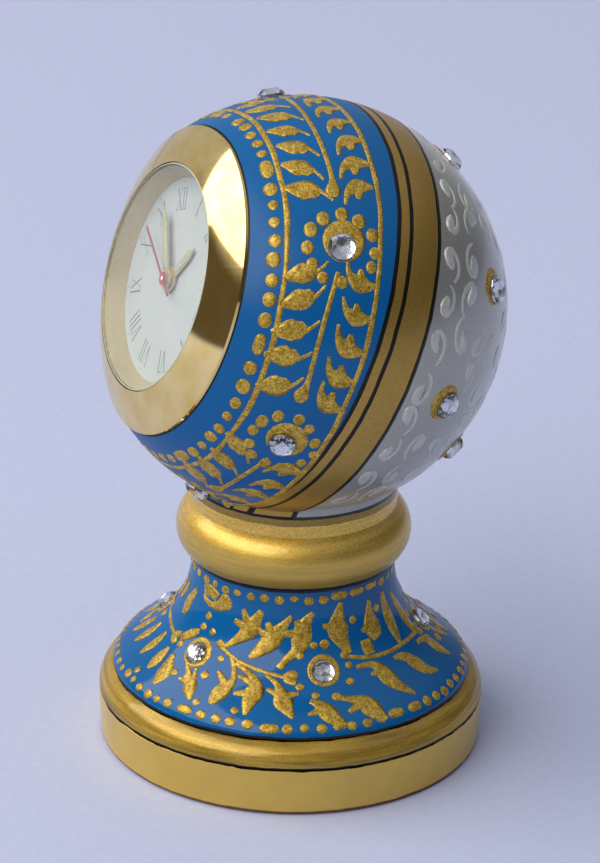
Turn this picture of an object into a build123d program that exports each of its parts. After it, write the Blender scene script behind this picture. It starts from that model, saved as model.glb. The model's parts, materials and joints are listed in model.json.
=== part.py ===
"""Ball desk clock on a turned pedestal, with a push-fit quartz clock insert.

Millimetres, +Z up, origin at the centre of the base. The dial looks along -Y and leans back.
"""
import os
from math import acos, atan2, cos, degrees, radians, sin, sqrt

from build123d import *

# Pedestal, turned in one piece
base_radius = 38.1
base_band_radius = 38.4
base_edge = 0.7
band_height = 9.8
line_width = 0.5
line_depth = 0.45
foot_height = 14.7
foot_radius = 35.6
foot_shoulder_share = 0.2
foot_flare_share = 0.24
neck_radius = 20.0
neck_height = 38.9
collar_radius = 23.2
collar_height = 44.5
throat_radius = 20.3
throat_height = 50.0
collar_top_height = 54.0

# Ball, with a short neck below and a flat and a bore in front
ball_radius = 40.0
ball_neck_radius = 20.3
ball_neck_length = 1.53
ball_face = 27.0
bore_radius = 25.0
bore_room = 4.4

# Dowel between the pedestal and the ball
dowel_radius = 5.0
dowel_depth = 10.0
dowel_wall = 1.4
dowel_end_gap = 0.5

# Clock insert: how far it leans back, and how far it was turned in the bore
dial_tilt = 17.6
dial_turn = -22.5

# Insert cup and the rubber ring that grips the bore
cup_radius = 24.2
cup_wall = 1.2
cup_ledge_width = 1.4
cup_ledge_depth = 2.2
cup_depth = 19.3
cup_rear_wall = 1.2
flange_radius = 27.4
flange_thickness = 0.8
fit_ring_squeeze = 0.05
fit_ring_skin = 0.3
fit_ring_length = 11.0
fit_ring_inset = 2.5
fit_ring_ribs = 3

# Bezel, glass, reflector ring and dial
bezel_radius = 29.4
bezel_edge = 0.6
bezel_rim_radius = 21.8
bezel_rim_height = 4.1
bezel_bulge = 0.25
bezel_wall = 0.6
glass_thickness = 1.2
glass_bevel = 0.35
reflector_radius = 22.95
reflector_seat_radius = 21.2
reflector_foot_radius = 19.6
dial_thickness = 0.4
dial_hole_radius = 2.2

# Movement plates and posts
front_plate_thickness = 1.2
bridge_thickness = 0.8
bridge_radius = 20.2
bridge_window_width = 17.0
bridge_window_height = 7.0
bridge_window_drop = 13.0
rear_plate_thickness = 1.2
rear_plate_radius = 20.4
post_radius = 2.0
post_tail_radius = 1.4
post_circle_radius = 18.3
post_angles = (20, 160, 250, 320)
screw_radius = 0.7
screw_grip = 4.0
screw_head_radius = 1.5
screw_head_height = 0.9
screw_slot_width = 0.35
screw_slot_depth = 0.4

# Gear train: axial room, arbors and tubes
level_gap = 0.4
motion_gear_thickness = 0.9
train_gear_thickness = 0.8
arbor_radius = 0.4
minute_tube_wall = 0.42
hour_tube_wall = 0.62
motion_arbor_radius = 0.6

# Gear teeth: counts, modules and tooth form as shares of a module or of a pitch
hour_teeth = 32
motion_pinion_teeth = 8
cannon_teeth = 10
motion_teeth = 30
motion_module = 0.4
centre_teeth = 64
third_pinion_teeth = 8
centre_module = 0.2
third_teeth = 60
seconds_pinion_teeth = 8
seconds_teeth = 40
intermediate_pinion_teeth = 8
seconds_module = 0.25
intermediate_teeth = 48
rotor_pinion_teeth = 8
rotor_module = 0.2
tooth_tip_share = 0.9
tooth_root_share = 1.15
tooth_foot_share = 0.42
tooth_top_share = 0.22

# Directions from one arbor to the next, in degrees from 3 o'clock
motion_direction = 0
third_direction = 180
intermediate_direction = 90
rotor_direction = 60

# Stepping motor
rotor_radius = 1.6
rotor_height = 2.2
rotor_air_gap = 0.4
stator_thickness = 1.0
stator_half_width = 9.8
stator_leg_width = 2.4
stator_yoke_height = 4.6
stator_leg_reach = 18.4
core_thickness = 0.8
core_width = 2.0
bobbin_length = 12.0
bobbin_radius = 1.7
bobbin_flange_radius = 2.3
bobbin_flange_thickness = 0.7
winding_radius = 2.15
stator_boss_radius = 1.1

# Circuit board and what stands on it
board_left = -2.0
board_right = 10.0
board_low = -16.5
board_high = -6.5
board_thickness = 0.8
chip_size = 3.4
chip_height = 0.9
chip_x = 3.2
chip_y = -11.8
can_radius = 1.0
can_length = 6.0
can_x = 6.4
can_y = -15.1

# Button cell, its contacts and its hatch
cell_radius = 5.8
cell_thickness = 5.4
cell_x = -9.5
cell_y = -9.5
cell_room = 0.2
cell_edge = 0.4
contact_thickness = 0.2
contact_width = 2.0
contact_foot = 1.8
negative_y = -11.4
positive_y = -7.8
contact_rise = 0.45
hatch_flange = 0.9
hatch_thickness = 0.8
hatch_room = 0.1
coin_slot_width = 1.2
coin_slot_length = 8.0
coin_slot_depth = 0.5

# Setting knob on the motion arbor, behind the cup
knob_radius = 3.5
knob_thickness = 2.6
knob_grip_radius = 0.45
knob_grips = 14

# Hands: where they point in the photograph, in degrees clockwise from 12
hand_gap = 0.5
hour_hand_angle = 60
hour_hand_length = 10.4
hour_hand_width = 1.9
hour_hub_radius = 2.5
minute_hand_angle = 343
minute_hand_length = 14.4
minute_hand_width = 1.9
minute_hub_radius = 1.9
hand_thickness = 0.25
hand_point_share = 1.1
second_hand_angle = 318
second_hand_length = 14.6
second_hand_width = 0.45
second_hand_tail = 4.8
second_hub_radius = 1.2
second_hand_thickness = 0.2

# Stones glued on the ball and the foot: sizes, shares of a stone's radius, and places on the ball
# as degrees away from the dial's axis and degrees clockwise from its top
ball_stone_radius = 2.65
foot_stone_radius = 2.35
stone_sides = 10
stone_girdle_share = 0.16
stone_height_share = 0.62
stone_table_share = 0.58
stone_lift = 0.16
ball_stone_tilt_angles = (71.7, 71.7, 71.7, 71.7, 71.7, 118, 127, 114.4, 136.4, 134, 116, 126)
ball_stone_clock_angles = (-18.6, 58.5, 118.3, 228, 285, 9.3, 58.5, 96.9, 125.8, 232, 262, 308)
low_stone_angle = 171.5
low_stone_gap = 0.3
foot_stone_share = 0.6
foot_stone_angles = (-127, -69.9, -9.7, 66, 124, 182)

# Clearances, and how far a cut runs past what it cuts
running_clearance = 0.03
seat_clearance = 0.02
loose_clearance = 0.05
overrun = 1.0

os.makedirs("parts", exist_ok=True)

# Height of the ball on its neck
ball_neck_top = collar_top_height + ball_neck_length
ball_centre_height = ball_neck_top + sqrt(ball_radius**2 - ball_neck_radius**2)

# Frame of the insert: x to 3 o'clock, y to 12 o'clock, z out of the dial
ball_centre = Vector(0, 0, ball_centre_height)
outward = Vector(0, -cos(radians(dial_tilt)), sin(radians(dial_tilt)))
uphill = Vector(0, sin(radians(dial_tilt)), cos(radians(dial_tilt)))
sideways = Vector(1, 0, 0)
twelve = uphill * cos(radians(dial_turn)) + sideways * sin(radians(dial_turn))
three = sideways * cos(radians(dial_turn)) - uphill * sin(radians(dial_turn))
dial_line = Axis(ball_centre, outward)
dial_section = Plane(ball_centre, x_dir=three, z_dir=-twelve)


def dial_plane(distance):
    """Plane across the insert's axis, so far in front of the ball's centre."""
    return Plane(ball_centre + outward * distance, x_dir=three, z_dir=outward)


def dial_section_at(height):
    """Plane along the insert's axis, so far towards 12 o'clock."""
    return Plane(ball_centre + twelve * height, x_dir=three, z_dir=-twelve)


def step_from(place, distance, direction):
    """Place so far from another, in the insert's frame."""
    turn = radians(direction)
    return (place[0] + distance * cos(turn), place[1] + distance * sin(turn))


def gear_outline(teeth, module):
    """Points of a gear with straight-sided teeth, one tooth on the x axis."""
    pitch_radius = teeth * module / 2
    root = pitch_radius - tooth_root_share * module
    tip = pitch_radius + tooth_tip_share * module
    flanks = (
        (root, -tooth_foot_share / 2),
        (tip, -tooth_top_share / 2),
        (tip, tooth_top_share / 2),
        (root, tooth_foot_share / 2),
    )
    points = []
    for tooth in range(teeth):
        for radius, share in flanks:
            turn = radians((tooth + share) * 360 / teeth)
            points.append((radius * cos(turn), radius * sin(turn)))
    return points


def centre_distance(first_teeth, second_teeth, module):
    """Distance between the arbors of two gears in mesh."""
    return (first_teeth + second_teeth) * module / 2


def opposite(direction):
    """Direction back to where one came from."""
    return direction + 180


def gap_facing(direction, teeth):
    """Turn that puts a gap, not a tooth, on the line of centres."""
    return direction + 180 / teeth


def hand_outline(length, width, start):
    """Points of a straight hand with a pointed end, along the y axis."""
    shoulder = length - width * hand_point_share
    half = width / 2
    return [(-half, start), (half, start), (half, shoulder), (0, length), (-half, shoulder)]


# Stack of the insert, outwards from the ball's face and inwards to the rear
plate_back = ball_face - cup_ledge_depth
dial_back = plate_back + front_plate_thickness
dial_front = dial_back + dial_thickness
bezel_rim = ball_face + bezel_rim_height
glass_radius = bezel_rim_radius - loose_clearance
glass_back = bezel_rim - glass_thickness
cup_rear = ball_face - cup_depth
cup_floor = cup_rear + cup_rear_wall
knob_rear = cup_rear - level_gap - knob_thickness
bore_floor = knob_rear - bore_room
cup_inner_radius = cup_radius - cup_wall
cup_ledge_radius = cup_inner_radius - cup_ledge_width

hour_level = plate_back - level_gap - motion_gear_thickness
motion_level = hour_level - level_gap - motion_gear_thickness
centre_level = motion_level - level_gap - train_gear_thickness
bridge_level = centre_level - level_gap - bridge_thickness
bridge_top = bridge_level + bridge_thickness
third_level = bridge_level - level_gap - train_gear_thickness
seconds_level = third_level - level_gap - train_gear_thickness
intermediate_level = seconds_level - level_gap - train_gear_thickness
rotor_level = intermediate_level - level_gap - rotor_height
stator_level = rotor_level + (rotor_height - stator_thickness) / 2
stator_top = stator_level + stator_thickness
core_middle = stator_top + core_thickness / 2
rear_front = rotor_level - level_gap
rear_level = rear_front - rear_plate_thickness
pivot_low = rear_level + rear_plate_thickness / 4
pivot_high = bridge_top - bridge_thickness / 4

hour_hand_level = dial_front + hand_gap
minute_hand_level = hour_hand_level + hand_thickness + hand_gap
second_hand_level = minute_hand_level + hand_thickness + hand_gap
hour_tube_end = hour_hand_level + hand_thickness
minute_tube_end = minute_hand_level + hand_thickness
second_arbor_end = second_hand_level + second_hand_thickness

# Arbors in plan
centre_place = (0, 0)
motion_place = step_from(
    centre_place, centre_distance(cannon_teeth, motion_teeth, motion_module), motion_direction
)
third_distance = centre_distance(centre_teeth, third_pinion_teeth, centre_module)
third_module = 2 * third_distance / (third_teeth + seconds_pinion_teeth)
third_place = step_from(centre_place, third_distance, third_direction)
intermediate_place = step_from(
    centre_place,
    centre_distance(seconds_teeth, intermediate_pinion_teeth, seconds_module),
    intermediate_direction,
)
rotor_place = step_from(
    intermediate_place,
    centre_distance(intermediate_teeth, rotor_pinion_teeth, rotor_module),
    rotor_direction,
)
cell_place = (cell_x, cell_y)
post_places = [step_from(centre_place, post_circle_radius, angle) for angle in post_angles]

# Radii of the nested arbors
minute_bore_radius = arbor_radius + running_clearance
minute_tube_radius = minute_bore_radius + minute_tube_wall
hour_bore_radius = minute_tube_radius + running_clearance
hour_tube_radius = hour_bore_radius + hour_tube_wall

# Dowel: down into the pedestal, and up to a wall below the bore
bore_low_height = ball_centre_height + outward.Z * bore_floor - uphill.Z * bore_radius
dowel_hole_top = bore_low_height - dowel_wall
dowel_top = dowel_hole_top - dowel_end_gap
dowel_low = collar_top_height - dowel_depth

# Pedestal: band, quarter round, S-shaped foot, round collar and throat, with turned lines between them
with BuildPart() as pedestal:
    foot_rise = neck_height - foot_height
    band_top = band_height - line_width / 2
    round_low = band_height + line_width / 2
    round_top = foot_height - line_width / 2
    foot_low = foot_height + line_width / 2
    with BuildSketch(Plane.XZ):
        with BuildLine():
            Polyline(
                (0, 0),
                (base_radius - base_edge, 0),
                (base_radius, base_edge),
                (base_band_radius, band_top),
                (base_band_radius - line_depth, band_height),
                (base_band_radius, round_low),
            )
            TangentArc((base_band_radius, round_low), (foot_radius, round_top), tangent=(0, 1))
            Polyline(
                (foot_radius, round_top), (foot_radius - line_depth, foot_height), (foot_radius, foot_low)
            )
            Bezier(
                (foot_radius, foot_low),
                (foot_radius, foot_low + foot_shoulder_share * foot_rise),
                (neck_radius, foot_low + foot_flare_share * foot_rise),
                (neck_radius, neck_height),
            )
            ThreePointArc(
                (neck_radius, neck_height),
                (collar_radius, collar_height),
                (throat_radius, throat_height),
            )
            Polyline(
                (throat_radius, throat_height),
                (throat_radius, collar_top_height),
                (0, collar_top_height),
                (0, 0),
            )
        make_face()
    revolve(axis=Axis.Z)
    with BuildSketch(Plane.XY.offset(collar_top_height)):
        Circle(dowel_radius + loose_clearance)
    extrude(amount=-(dowel_depth + dowel_end_gap), mode=Mode.SUBTRACT)
pedestal.part.label = "pedestal"
export_step(pedestal.part, "parts/pedestal.step")

# Ball
with BuildPart() as ball:
    ball_top = ball_centre_height + ball_radius
    with BuildSketch(Plane.XZ):
        with BuildLine():
            ThreePointArc(
                (0, ball_top), (ball_radius, ball_centre_height), (ball_neck_radius, ball_neck_top)
            )
            Polyline(
                (ball_neck_radius, ball_neck_top),
                (ball_neck_radius, collar_top_height),
                (0, collar_top_height),
                (0, ball_top),
            )
        make_face()
    revolve(axis=Axis.Z)
    with BuildSketch(dial_plane(ball_face)):
        Circle(ball_radius)
    extrude(amount=ball_radius, mode=Mode.SUBTRACT)
    with BuildSketch(dial_plane(ball_face)):
        Circle(bore_radius)
    extrude(amount=bore_floor - ball_face, mode=Mode.SUBTRACT)
    with BuildSketch(Plane.XY.offset(collar_top_height)):
        Circle(dowel_radius + loose_clearance)
    extrude(amount=dowel_hole_top - collar_top_height, mode=Mode.SUBTRACT)
ball.part.label = "ball"
export_step(ball.part, "parts/ball.step")

# Dowel
with BuildPart() as dowel:
    with BuildSketch(Plane.XY.offset(dowel_low)):
        Circle(dowel_radius)
    extrude(amount=dowel_top - dowel_low)
    chamfer(dowel.edges().filter_by(GeomType.CIRCLE), length=dowel_end_gap)
dowel.part.label = "dowel"
export_step(dowel.part, "parts/dowel.step")


def cut_stone(seat, radius):
    """Flat-backed stone with a girdle and a small table, on a seat plane."""
    sections = (
        (0, radius),
        (stone_girdle_share * radius, radius),
        (stone_height_share * radius, stone_table_share * radius),
    )
    faces = []
    for height, size in sections:
        with BuildSketch(seat.offset(height)) as outline:
            RegularPolygon(size, stone_sides)
        faces.append(outline.sketch)
    loft(faces, ruled=True)


def ball_seat(polar, clock_angle):
    """Plane that touches the ball, so many degrees from the dial's axis and clockwise from the top."""
    turn = radians(clock_angle)
    across = uphill * cos(turn) + sideways * sin(turn)
    normal = outward * cos(radians(polar)) + across * sin(radians(polar))
    return Plane(ball_centre + normal * ball_radius, z_dir=normal)


def polar_above_neck(clock_angle):
    """Degrees from the dial's axis at which a stone just clears the neck, at that clock angle."""
    clear_radius = ball_neck_radius + ball_stone_radius + low_stone_gap
    depth = sqrt(ball_radius**2 - clear_radius**2) / ball_radius
    ahead = outward.Z
    across = uphill.Z * cos(radians(clock_angle))
    return degrees(atan2(across, ahead) + acos(-depth / sqrt(ahead**2 + across**2)))


# Stones on the ball, one of them low in front and just above the neck
with BuildPart() as ball_crystals:
    for polar, clock_angle in zip(ball_stone_tilt_angles, ball_stone_clock_angles):
        cut_stone(ball_seat(polar, clock_angle), ball_stone_radius)
    cut_stone(ball_seat(polar_above_neck(low_stone_angle), low_stone_angle), ball_stone_radius)
ball_crystals.part.label = "ball_crystals"
export_step(ball_crystals.part, "parts/ball_crystals.step")


def foot_point(share):
    """Radius, height and slope angle of the foot's curve, by share of its length."""
    rise = neck_height - foot_height
    start = foot_height + line_width / 2
    radii = (foot_radius, foot_radius, neck_radius, neck_radius)
    heights = (start, start + foot_shoulder_share * rise, start + foot_flare_share * rise, neck_height)
    rest = 1 - share
    weights = (rest**3, 3 * rest**2 * share, 3 * rest * share**2, share**3)
    slopes = (-(rest**2), rest**2 - 2 * rest * share, 2 * rest * share - share**2, share**2)
    radius = sum(weight * value for weight, value in zip(weights, radii))
    height = sum(weight * value for weight, value in zip(weights, heights))
    run = sum(slope * value for slope, value in zip(slopes, radii))
    climb = sum(slope * value for slope, value in zip(slopes, heights))
    return radius, height, degrees(atan2(-run, climb))


# Stones on the foot
with BuildPart() as foot_crystals:
    seat_radius, seat_height, seat_lean = foot_point(foot_stone_share)
    for angle in foot_stone_angles:
        away = Vector(cos(radians(angle)), sin(radians(angle)), 0)
        normal = away * cos(radians(seat_lean)) + Vector(0, 0, sin(radians(seat_lean)))
        seat_point = away * seat_radius + Vector(0, 0, seat_height)
        cut_stone(Plane(seat_point + normal * stone_lift, z_dir=normal), foot_stone_radius)
foot_crystals.part.label = "foot_crystals"
export_step(foot_crystals.part, "parts/foot_crystals.step")

# Bezel: thin domed ring that holds the glass and covers the cup's flange
with BuildPart() as bezel:
    rim_middle = (bezel_rim_radius + bezel_radius) / 2
    edge_height = ball_face + bezel_edge
    inner_edge = bezel_radius - bezel_wall
    with BuildSketch(dial_section):
        with BuildLine():
            ThreePointArc(
                (bezel_rim_radius, bezel_rim),
                (rim_middle, (bezel_rim + edge_height) / 2 + bezel_bulge),
                (bezel_radius, edge_height),
            )
            Polyline(
                (bezel_radius, edge_height),
                (bezel_radius, ball_face),
                (inner_edge, ball_face),
                (inner_edge, edge_height - bezel_wall / 2),
                (reflector_radius, glass_back),
                (bezel_rim_radius, glass_back),
                (bezel_rim_radius, bezel_rim),
            )
        make_face()
    revolve(axis=dial_line)
bezel.part.label = "bezel"
export_step(bezel.part, "parts/bezel.step")

# Glass, flush with the bezel's rim, with a bevelled front edge
with BuildPart() as glass:
    with BuildSketch(dial_plane(glass_back)):
        Circle(glass_radius)
    extrude(amount=glass_thickness)
    chamfer(glass.faces().sort_by(dial_line)[-1].edges(), length=glass_bevel)
glass.part.label = "glass"
export_step(glass.part, "parts/glass.step")

# Reflector ring: sloping ring between dial and glass, which carries the glass and the bezel's lip
with BuildPart() as reflector_ring:
    with BuildSketch(dial_section):
        with BuildLine():
            Polyline(
                (reflector_foot_radius, dial_front),
                (reflector_radius, dial_front),
                (reflector_radius, glass_back),
                (reflector_seat_radius, glass_back),
                close=True,
            )
        make_face()
    revolve(axis=dial_line)
reflector_ring.part.label = "reflector_ring"
export_step(reflector_ring.part, "parts/reflector_ring.step")

# Dial
with BuildPart() as dial:
    with BuildSketch(dial_plane(dial_back)):
        Circle(cup_inner_radius - loose_clearance)
        Circle(dial_hole_radius, mode=Mode.SUBTRACT)
    extrude(amount=dial_thickness)
dial.part.label = "dial"
export_step(dial.part, "parts/dial.step")

# Insert cup: flange on the ball's face, ledge for the movement, rear wall with two openings
with BuildPart() as insert_cup:
    with BuildSketch(dial_section):
        with BuildLine():
            Polyline(
                (0, cup_rear),
                (cup_radius, cup_rear),
                (cup_radius, ball_face),
                (flange_radius, ball_face),
                (flange_radius, ball_face + flange_thickness),
                (cup_inner_radius, ball_face + flange_thickness),
                (cup_inner_radius, plate_back),
                (cup_ledge_radius, plate_back),
                (cup_ledge_radius, cup_floor),
                (0, cup_floor),
                close=True,
            )
        make_face()
    revolve(axis=dial_line)
    with BuildSketch(dial_plane(cup_rear)):
        with Locations(cell_place):
            Circle(cell_radius + cell_room + hatch_room)
        with Locations(motion_place):
            Circle(motion_arbor_radius + running_clearance)
    extrude(amount=cup_rear_wall, mode=Mode.SUBTRACT)
insert_cup.part.label = "insert_cup"
export_step(insert_cup.part, "parts/insert_cup.step")

# Rubber fit ring on the cup, with ribs that grip the bore
with BuildPart() as fit_ring:
    skin_inner = cup_radius + seat_clearance
    skin_outer = skin_inner + fit_ring_skin
    rib_radius = bore_radius - fit_ring_squeeze
    ring_top = ball_face - fit_ring_inset
    rib_pitch = fit_ring_length / fit_ring_ribs
    ring_points = [(skin_inner, ring_top), (skin_outer, ring_top)]
    for rib in range(fit_ring_ribs):
        rib_top = ring_top - rib * rib_pitch
        ring_points.append((rib_radius, rib_top - rib_pitch / 2))
        ring_points.append((skin_outer, rib_top - rib_pitch))
    ring_points.append((skin_inner, ring_top - fit_ring_length))
    with BuildSketch(dial_section):
        with BuildLine():
            Polyline(*ring_points, close=True)
        make_face()
    revolve(axis=dial_line)
fit_ring.part.label = "fit_ring"
export_step(fit_ring.part, "parts/fit_ring.step")

# Front plate with four stepped posts
with BuildPart() as front_plate:
    with BuildSketch(dial_plane(plate_back)):
        Circle(cup_inner_radius - loose_clearance)
        Circle(hour_tube_radius + running_clearance, mode=Mode.SUBTRACT)
        with Locations(motion_place):
            Circle(motion_arbor_radius + running_clearance, mode=Mode.SUBTRACT)
    extrude(amount=front_plate_thickness)
    with BuildSketch(dial_plane(bridge_top)):
        with Locations(*post_places):
            Circle(post_radius)
    extrude(amount=plate_back - bridge_top)
    with BuildSketch(dial_plane(rear_front)):
        with Locations(*post_places):
            Circle(post_tail_radius)
    extrude(amount=bridge_top - rear_front)
    with BuildSketch(dial_plane(rear_front)):
        with Locations(*post_places):
            Circle(screw_radius + seat_clearance)
    extrude(amount=screw_grip + seat_clearance, mode=Mode.SUBTRACT)
front_plate.part.label = "front_plate"
export_step(front_plate.part, "parts/front_plate.step")

# Train bridge on the posts' shoulders
with BuildPart() as train_bridge:
    with BuildSketch(dial_plane(bridge_level)):
        Circle(bridge_radius)
        with Locations(*post_places):
            Circle(post_tail_radius + seat_clearance, mode=Mode.SUBTRACT)
        with Locations(centre_place, third_place, intermediate_place, rotor_place):
            Circle(arbor_radius + running_clearance, mode=Mode.SUBTRACT)
        with Locations(motion_place):
            Circle(motion_arbor_radius + running_clearance, mode=Mode.SUBTRACT)
        with Locations((0, -bridge_window_drop)):
            Rectangle(bridge_window_width, bridge_window_height, mode=Mode.SUBTRACT)
    extrude(amount=bridge_thickness)
train_bridge.part.label = "train_bridge"
export_step(train_bridge.part, "parts/train_bridge.step")

# Rear plate with bosses under the stator and an opening for the cell
with BuildPart() as rear_plate:
    boss_x = stator_half_width - stator_leg_width / 2
    boss_y = stator_leg_reach - stator_leg_width / 2
    with BuildSketch(dial_plane(rear_level)):
        Circle(rear_plate_radius)
        with Locations(*post_places):
            Circle(screw_radius + seat_clearance, mode=Mode.SUBTRACT)
        with Locations(centre_place, third_place, intermediate_place, rotor_place):
            Circle(arbor_radius + running_clearance, mode=Mode.SUBTRACT)
        with Locations(motion_place):
            Circle(motion_arbor_radius + running_clearance, mode=Mode.SUBTRACT)
        with Locations(cell_place):
            Circle(cell_radius + cell_room, mode=Mode.SUBTRACT)
    extrude(amount=rear_plate_thickness)
    with BuildSketch(dial_plane(rear_front)):
        with Locations((-boss_x, boss_y), (boss_x, boss_y)):
            Circle(stator_boss_radius)
    extrude(amount=stator_level - rear_front)
rear_plate.part.label = "rear_plate"
export_step(rear_plate.part, "parts/rear_plate.step")

# Slotted screws that hold the rear plate to the posts
with BuildPart() as movement_screws:
    with BuildSketch(dial_plane(rear_level)):
        with Locations(*post_places):
            Circle(screw_radius)
    extrude(amount=rear_plate_thickness + screw_grip)
    with BuildSketch(dial_plane(rear_level)):
        with Locations(*post_places):
            Circle(screw_head_radius)
    extrude(amount=-screw_head_height)
    with BuildSketch(dial_plane(rear_level - screw_head_height)):
        with Locations(*post_places):
            Rectangle(2 * screw_head_radius + overrun, screw_slot_width)
    extrude(amount=screw_slot_depth, mode=Mode.SUBTRACT)
movement_screws.part.label = "movement_screws"
export_step(movement_screws.part, "parts/movement_screws.step")

# Stator: yoke round the rotor with two legs up to the coil's core
with BuildPart() as stator:
    leg_x = stator_half_width - stator_leg_width / 2
    leg_length = stator_leg_reach - rotor_place[1]
    with BuildSketch(dial_plane(stator_level)):
        with Locations((0, rotor_place[1])):
            Rectangle(2 * stator_half_width, stator_yoke_height)
        with Locations((-leg_x, rotor_place[1] + leg_length / 2), (leg_x, rotor_place[1] + leg_length / 2)):
            Rectangle(stator_leg_width, leg_length)
        with Locations(rotor_place):
            Circle(rotor_radius + rotor_air_gap, mode=Mode.SUBTRACT)
    extrude(amount=stator_thickness)
stator.part.label = "stator"
export_step(stator.part, "parts/stator.step")

# Coil core, lying across the stator's legs
with BuildPart() as coil_core:
    core_y = stator_leg_reach - stator_leg_width / 2
    with BuildSketch(dial_plane(stator_top)):
        with Locations((0, core_y)):
            Rectangle(2 * stator_half_width, core_width)
    extrude(amount=core_thickness)
coil_core.part.label = "coil_core"
export_step(coil_core.part, "parts/coil_core.step")

# Coil bobbin and winding, round the core
coil_middle = ball_centre + outward * core_middle + twelve * (stator_leg_reach - stator_leg_width / 2)


def coil_plane(along):
    """Plane across the coil, so far towards 3 o'clock from its middle."""
    return Plane(coil_middle + three * along, x_dir=twelve, z_dir=three)


with BuildPart() as coil_bobbin:
    with BuildSketch(coil_plane(-bobbin_length / 2)):
        Circle(bobbin_radius)
    extrude(amount=bobbin_length)
    with BuildSketch(coil_plane(-bobbin_length / 2), coil_plane(bobbin_length / 2 - bobbin_flange_thickness)):
        Circle(bobbin_flange_radius)
    extrude(amount=bobbin_flange_thickness)
    with BuildSketch(coil_plane(-bobbin_length / 2)):
        Rectangle(core_width + 2 * seat_clearance, core_thickness + 2 * seat_clearance)
    extrude(amount=bobbin_length, mode=Mode.SUBTRACT)
coil_bobbin.part.label = "coil_bobbin"
export_step(coil_bobbin.part, "parts/coil_bobbin.step")

with BuildPart() as coil_winding:
    winding_length = bobbin_length - 2 * bobbin_flange_thickness - 2 * seat_clearance
    with BuildSketch(coil_plane(-winding_length / 2)):
        Circle(winding_radius)
        Circle(bobbin_radius + seat_clearance, mode=Mode.SUBTRACT)
    extrude(amount=winding_length)
coil_winding.part.label = "coil_winding"
export_step(coil_winding.part, "parts/coil_winding.step")

# Circuit board on the rear plate, with its driver chip and crystal can
board_top = rear_front + board_thickness
with BuildPart() as circuit_board:
    with BuildSketch(dial_plane(rear_front)):
        with Locations(((board_left + board_right) / 2, (board_low + board_high) / 2)):
            Rectangle(board_right - board_left, board_high - board_low)
    extrude(amount=board_thickness)
circuit_board.part.label = "circuit_board"
export_step(circuit_board.part, "parts/circuit_board.step")

with BuildPart() as driver_chip:
    with BuildSketch(dial_plane(board_top)):
        with Locations((chip_x, chip_y)):
            Rectangle(chip_size, chip_size)
    extrude(amount=chip_height)
    chamfer(driver_chip.faces().sort_by(dial_line)[-1].edges(), length=chip_height / 4)
driver_chip.part.label = "driver_chip"
export_step(driver_chip.part, "parts/driver_chip.step")

with BuildPart() as quartz_crystal:
    can_end = ball_centre + three * (can_x - can_length / 2) + twelve * can_y
    can_end = can_end + outward * (board_top + can_radius)
    with BuildSketch(Plane(can_end, x_dir=twelve, z_dir=three)):
        Circle(can_radius)
    extrude(amount=can_length)
    fillet(quartz_crystal.faces().sort_by(Axis(can_end, three))[-1].edges(), radius=can_radius / 4)
quartz_crystal.part.label = "quartz_crystal"
export_step(quartz_crystal.part, "parts/quartz_crystal.step")

# Button cell, standing on the hatch and through the rear plate
cell_level = cup_floor + seat_clearance
cell_top = cell_level + cell_thickness
with BuildPart() as button_cell:
    with BuildSketch(dial_plane(cell_level)):
        with Locations(cell_place):
            Circle(cell_radius)
    extrude(amount=cell_thickness)
    fillet(button_cell.faces().sort_by(dial_line)[0].edges(), radius=cell_edge)
    chamfer(button_cell.faces().sort_by(dial_line)[-1].edges(), length=cell_edge)
button_cell.part.label = "button_cell"
export_step(button_cell.part, "parts/button_cell.step")

# Contact strips: one over the cell's cap, one against its side, both down on the board
with BuildPart() as negative_contact:
    strip_low = cell_top + seat_clearance
    strip_top = strip_low + contact_thickness
    foot_top = board_top + contact_thickness
    bend = cell_x + cell_radius
    foot_end = board_left + contact_foot
    with BuildSketch(dial_section_at(negative_y)):
        with BuildLine():
            Polyline(
                (cell_x, strip_low),
                (bend, strip_low),
                (board_left, board_top),
                (foot_end, board_top),
                (foot_end, foot_top),
                (board_left, foot_top),
                (bend, strip_top),
                (cell_x, strip_top),
                close=True,
            )
        make_face()
    extrude(amount=contact_width / 2, both=True)
negative_contact.part.label = "negative_contact"
export_step(negative_contact.part, "parts/negative_contact.step")

with BuildPart() as positive_contact:
    spring_x = cell_x + cell_radius + seat_clearance
    spring_top = board_top + contact_rise
    foot_end = board_left + contact_foot
    with BuildSketch(dial_section_at(positive_y)):
        with BuildLine():
            Polyline(
                (spring_x, board_top),
                (foot_end, board_top),
                (foot_end, board_top + contact_thickness),
                (spring_x + contact_thickness, board_top + contact_thickness),
                (spring_x + contact_thickness, spring_top),
                (spring_x, spring_top),
                close=True,
            )
        make_face()
    extrude(amount=contact_width / 2, both=True)
positive_contact.part.label = "positive_contact"
export_step(positive_contact.part, "parts/positive_contact.step")

# Battery hatch: plug in the cup's rear wall with an outer flange and a coin slot
with BuildPart() as battery_hatch:
    with BuildSketch(dial_plane(cup_rear)):
        with Locations(cell_place):
            Circle(cell_radius + cell_room)
    extrude(amount=cup_rear_wall)
    with BuildSketch(dial_plane(cup_rear)):
        with Locations(cell_place):
            Circle(cell_radius + cell_room + hatch_flange)
    extrude(amount=-hatch_thickness)
    with BuildSketch(dial_plane(cup_rear - hatch_thickness)):
        with Locations(cell_place):
            SlotOverall(coin_slot_length, coin_slot_width)
    extrude(amount=coin_slot_depth, mode=Mode.SUBTRACT)
battery_hatch.part.label = "battery_hatch"
export_step(battery_hatch.part, "parts/battery_hatch.step")

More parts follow.
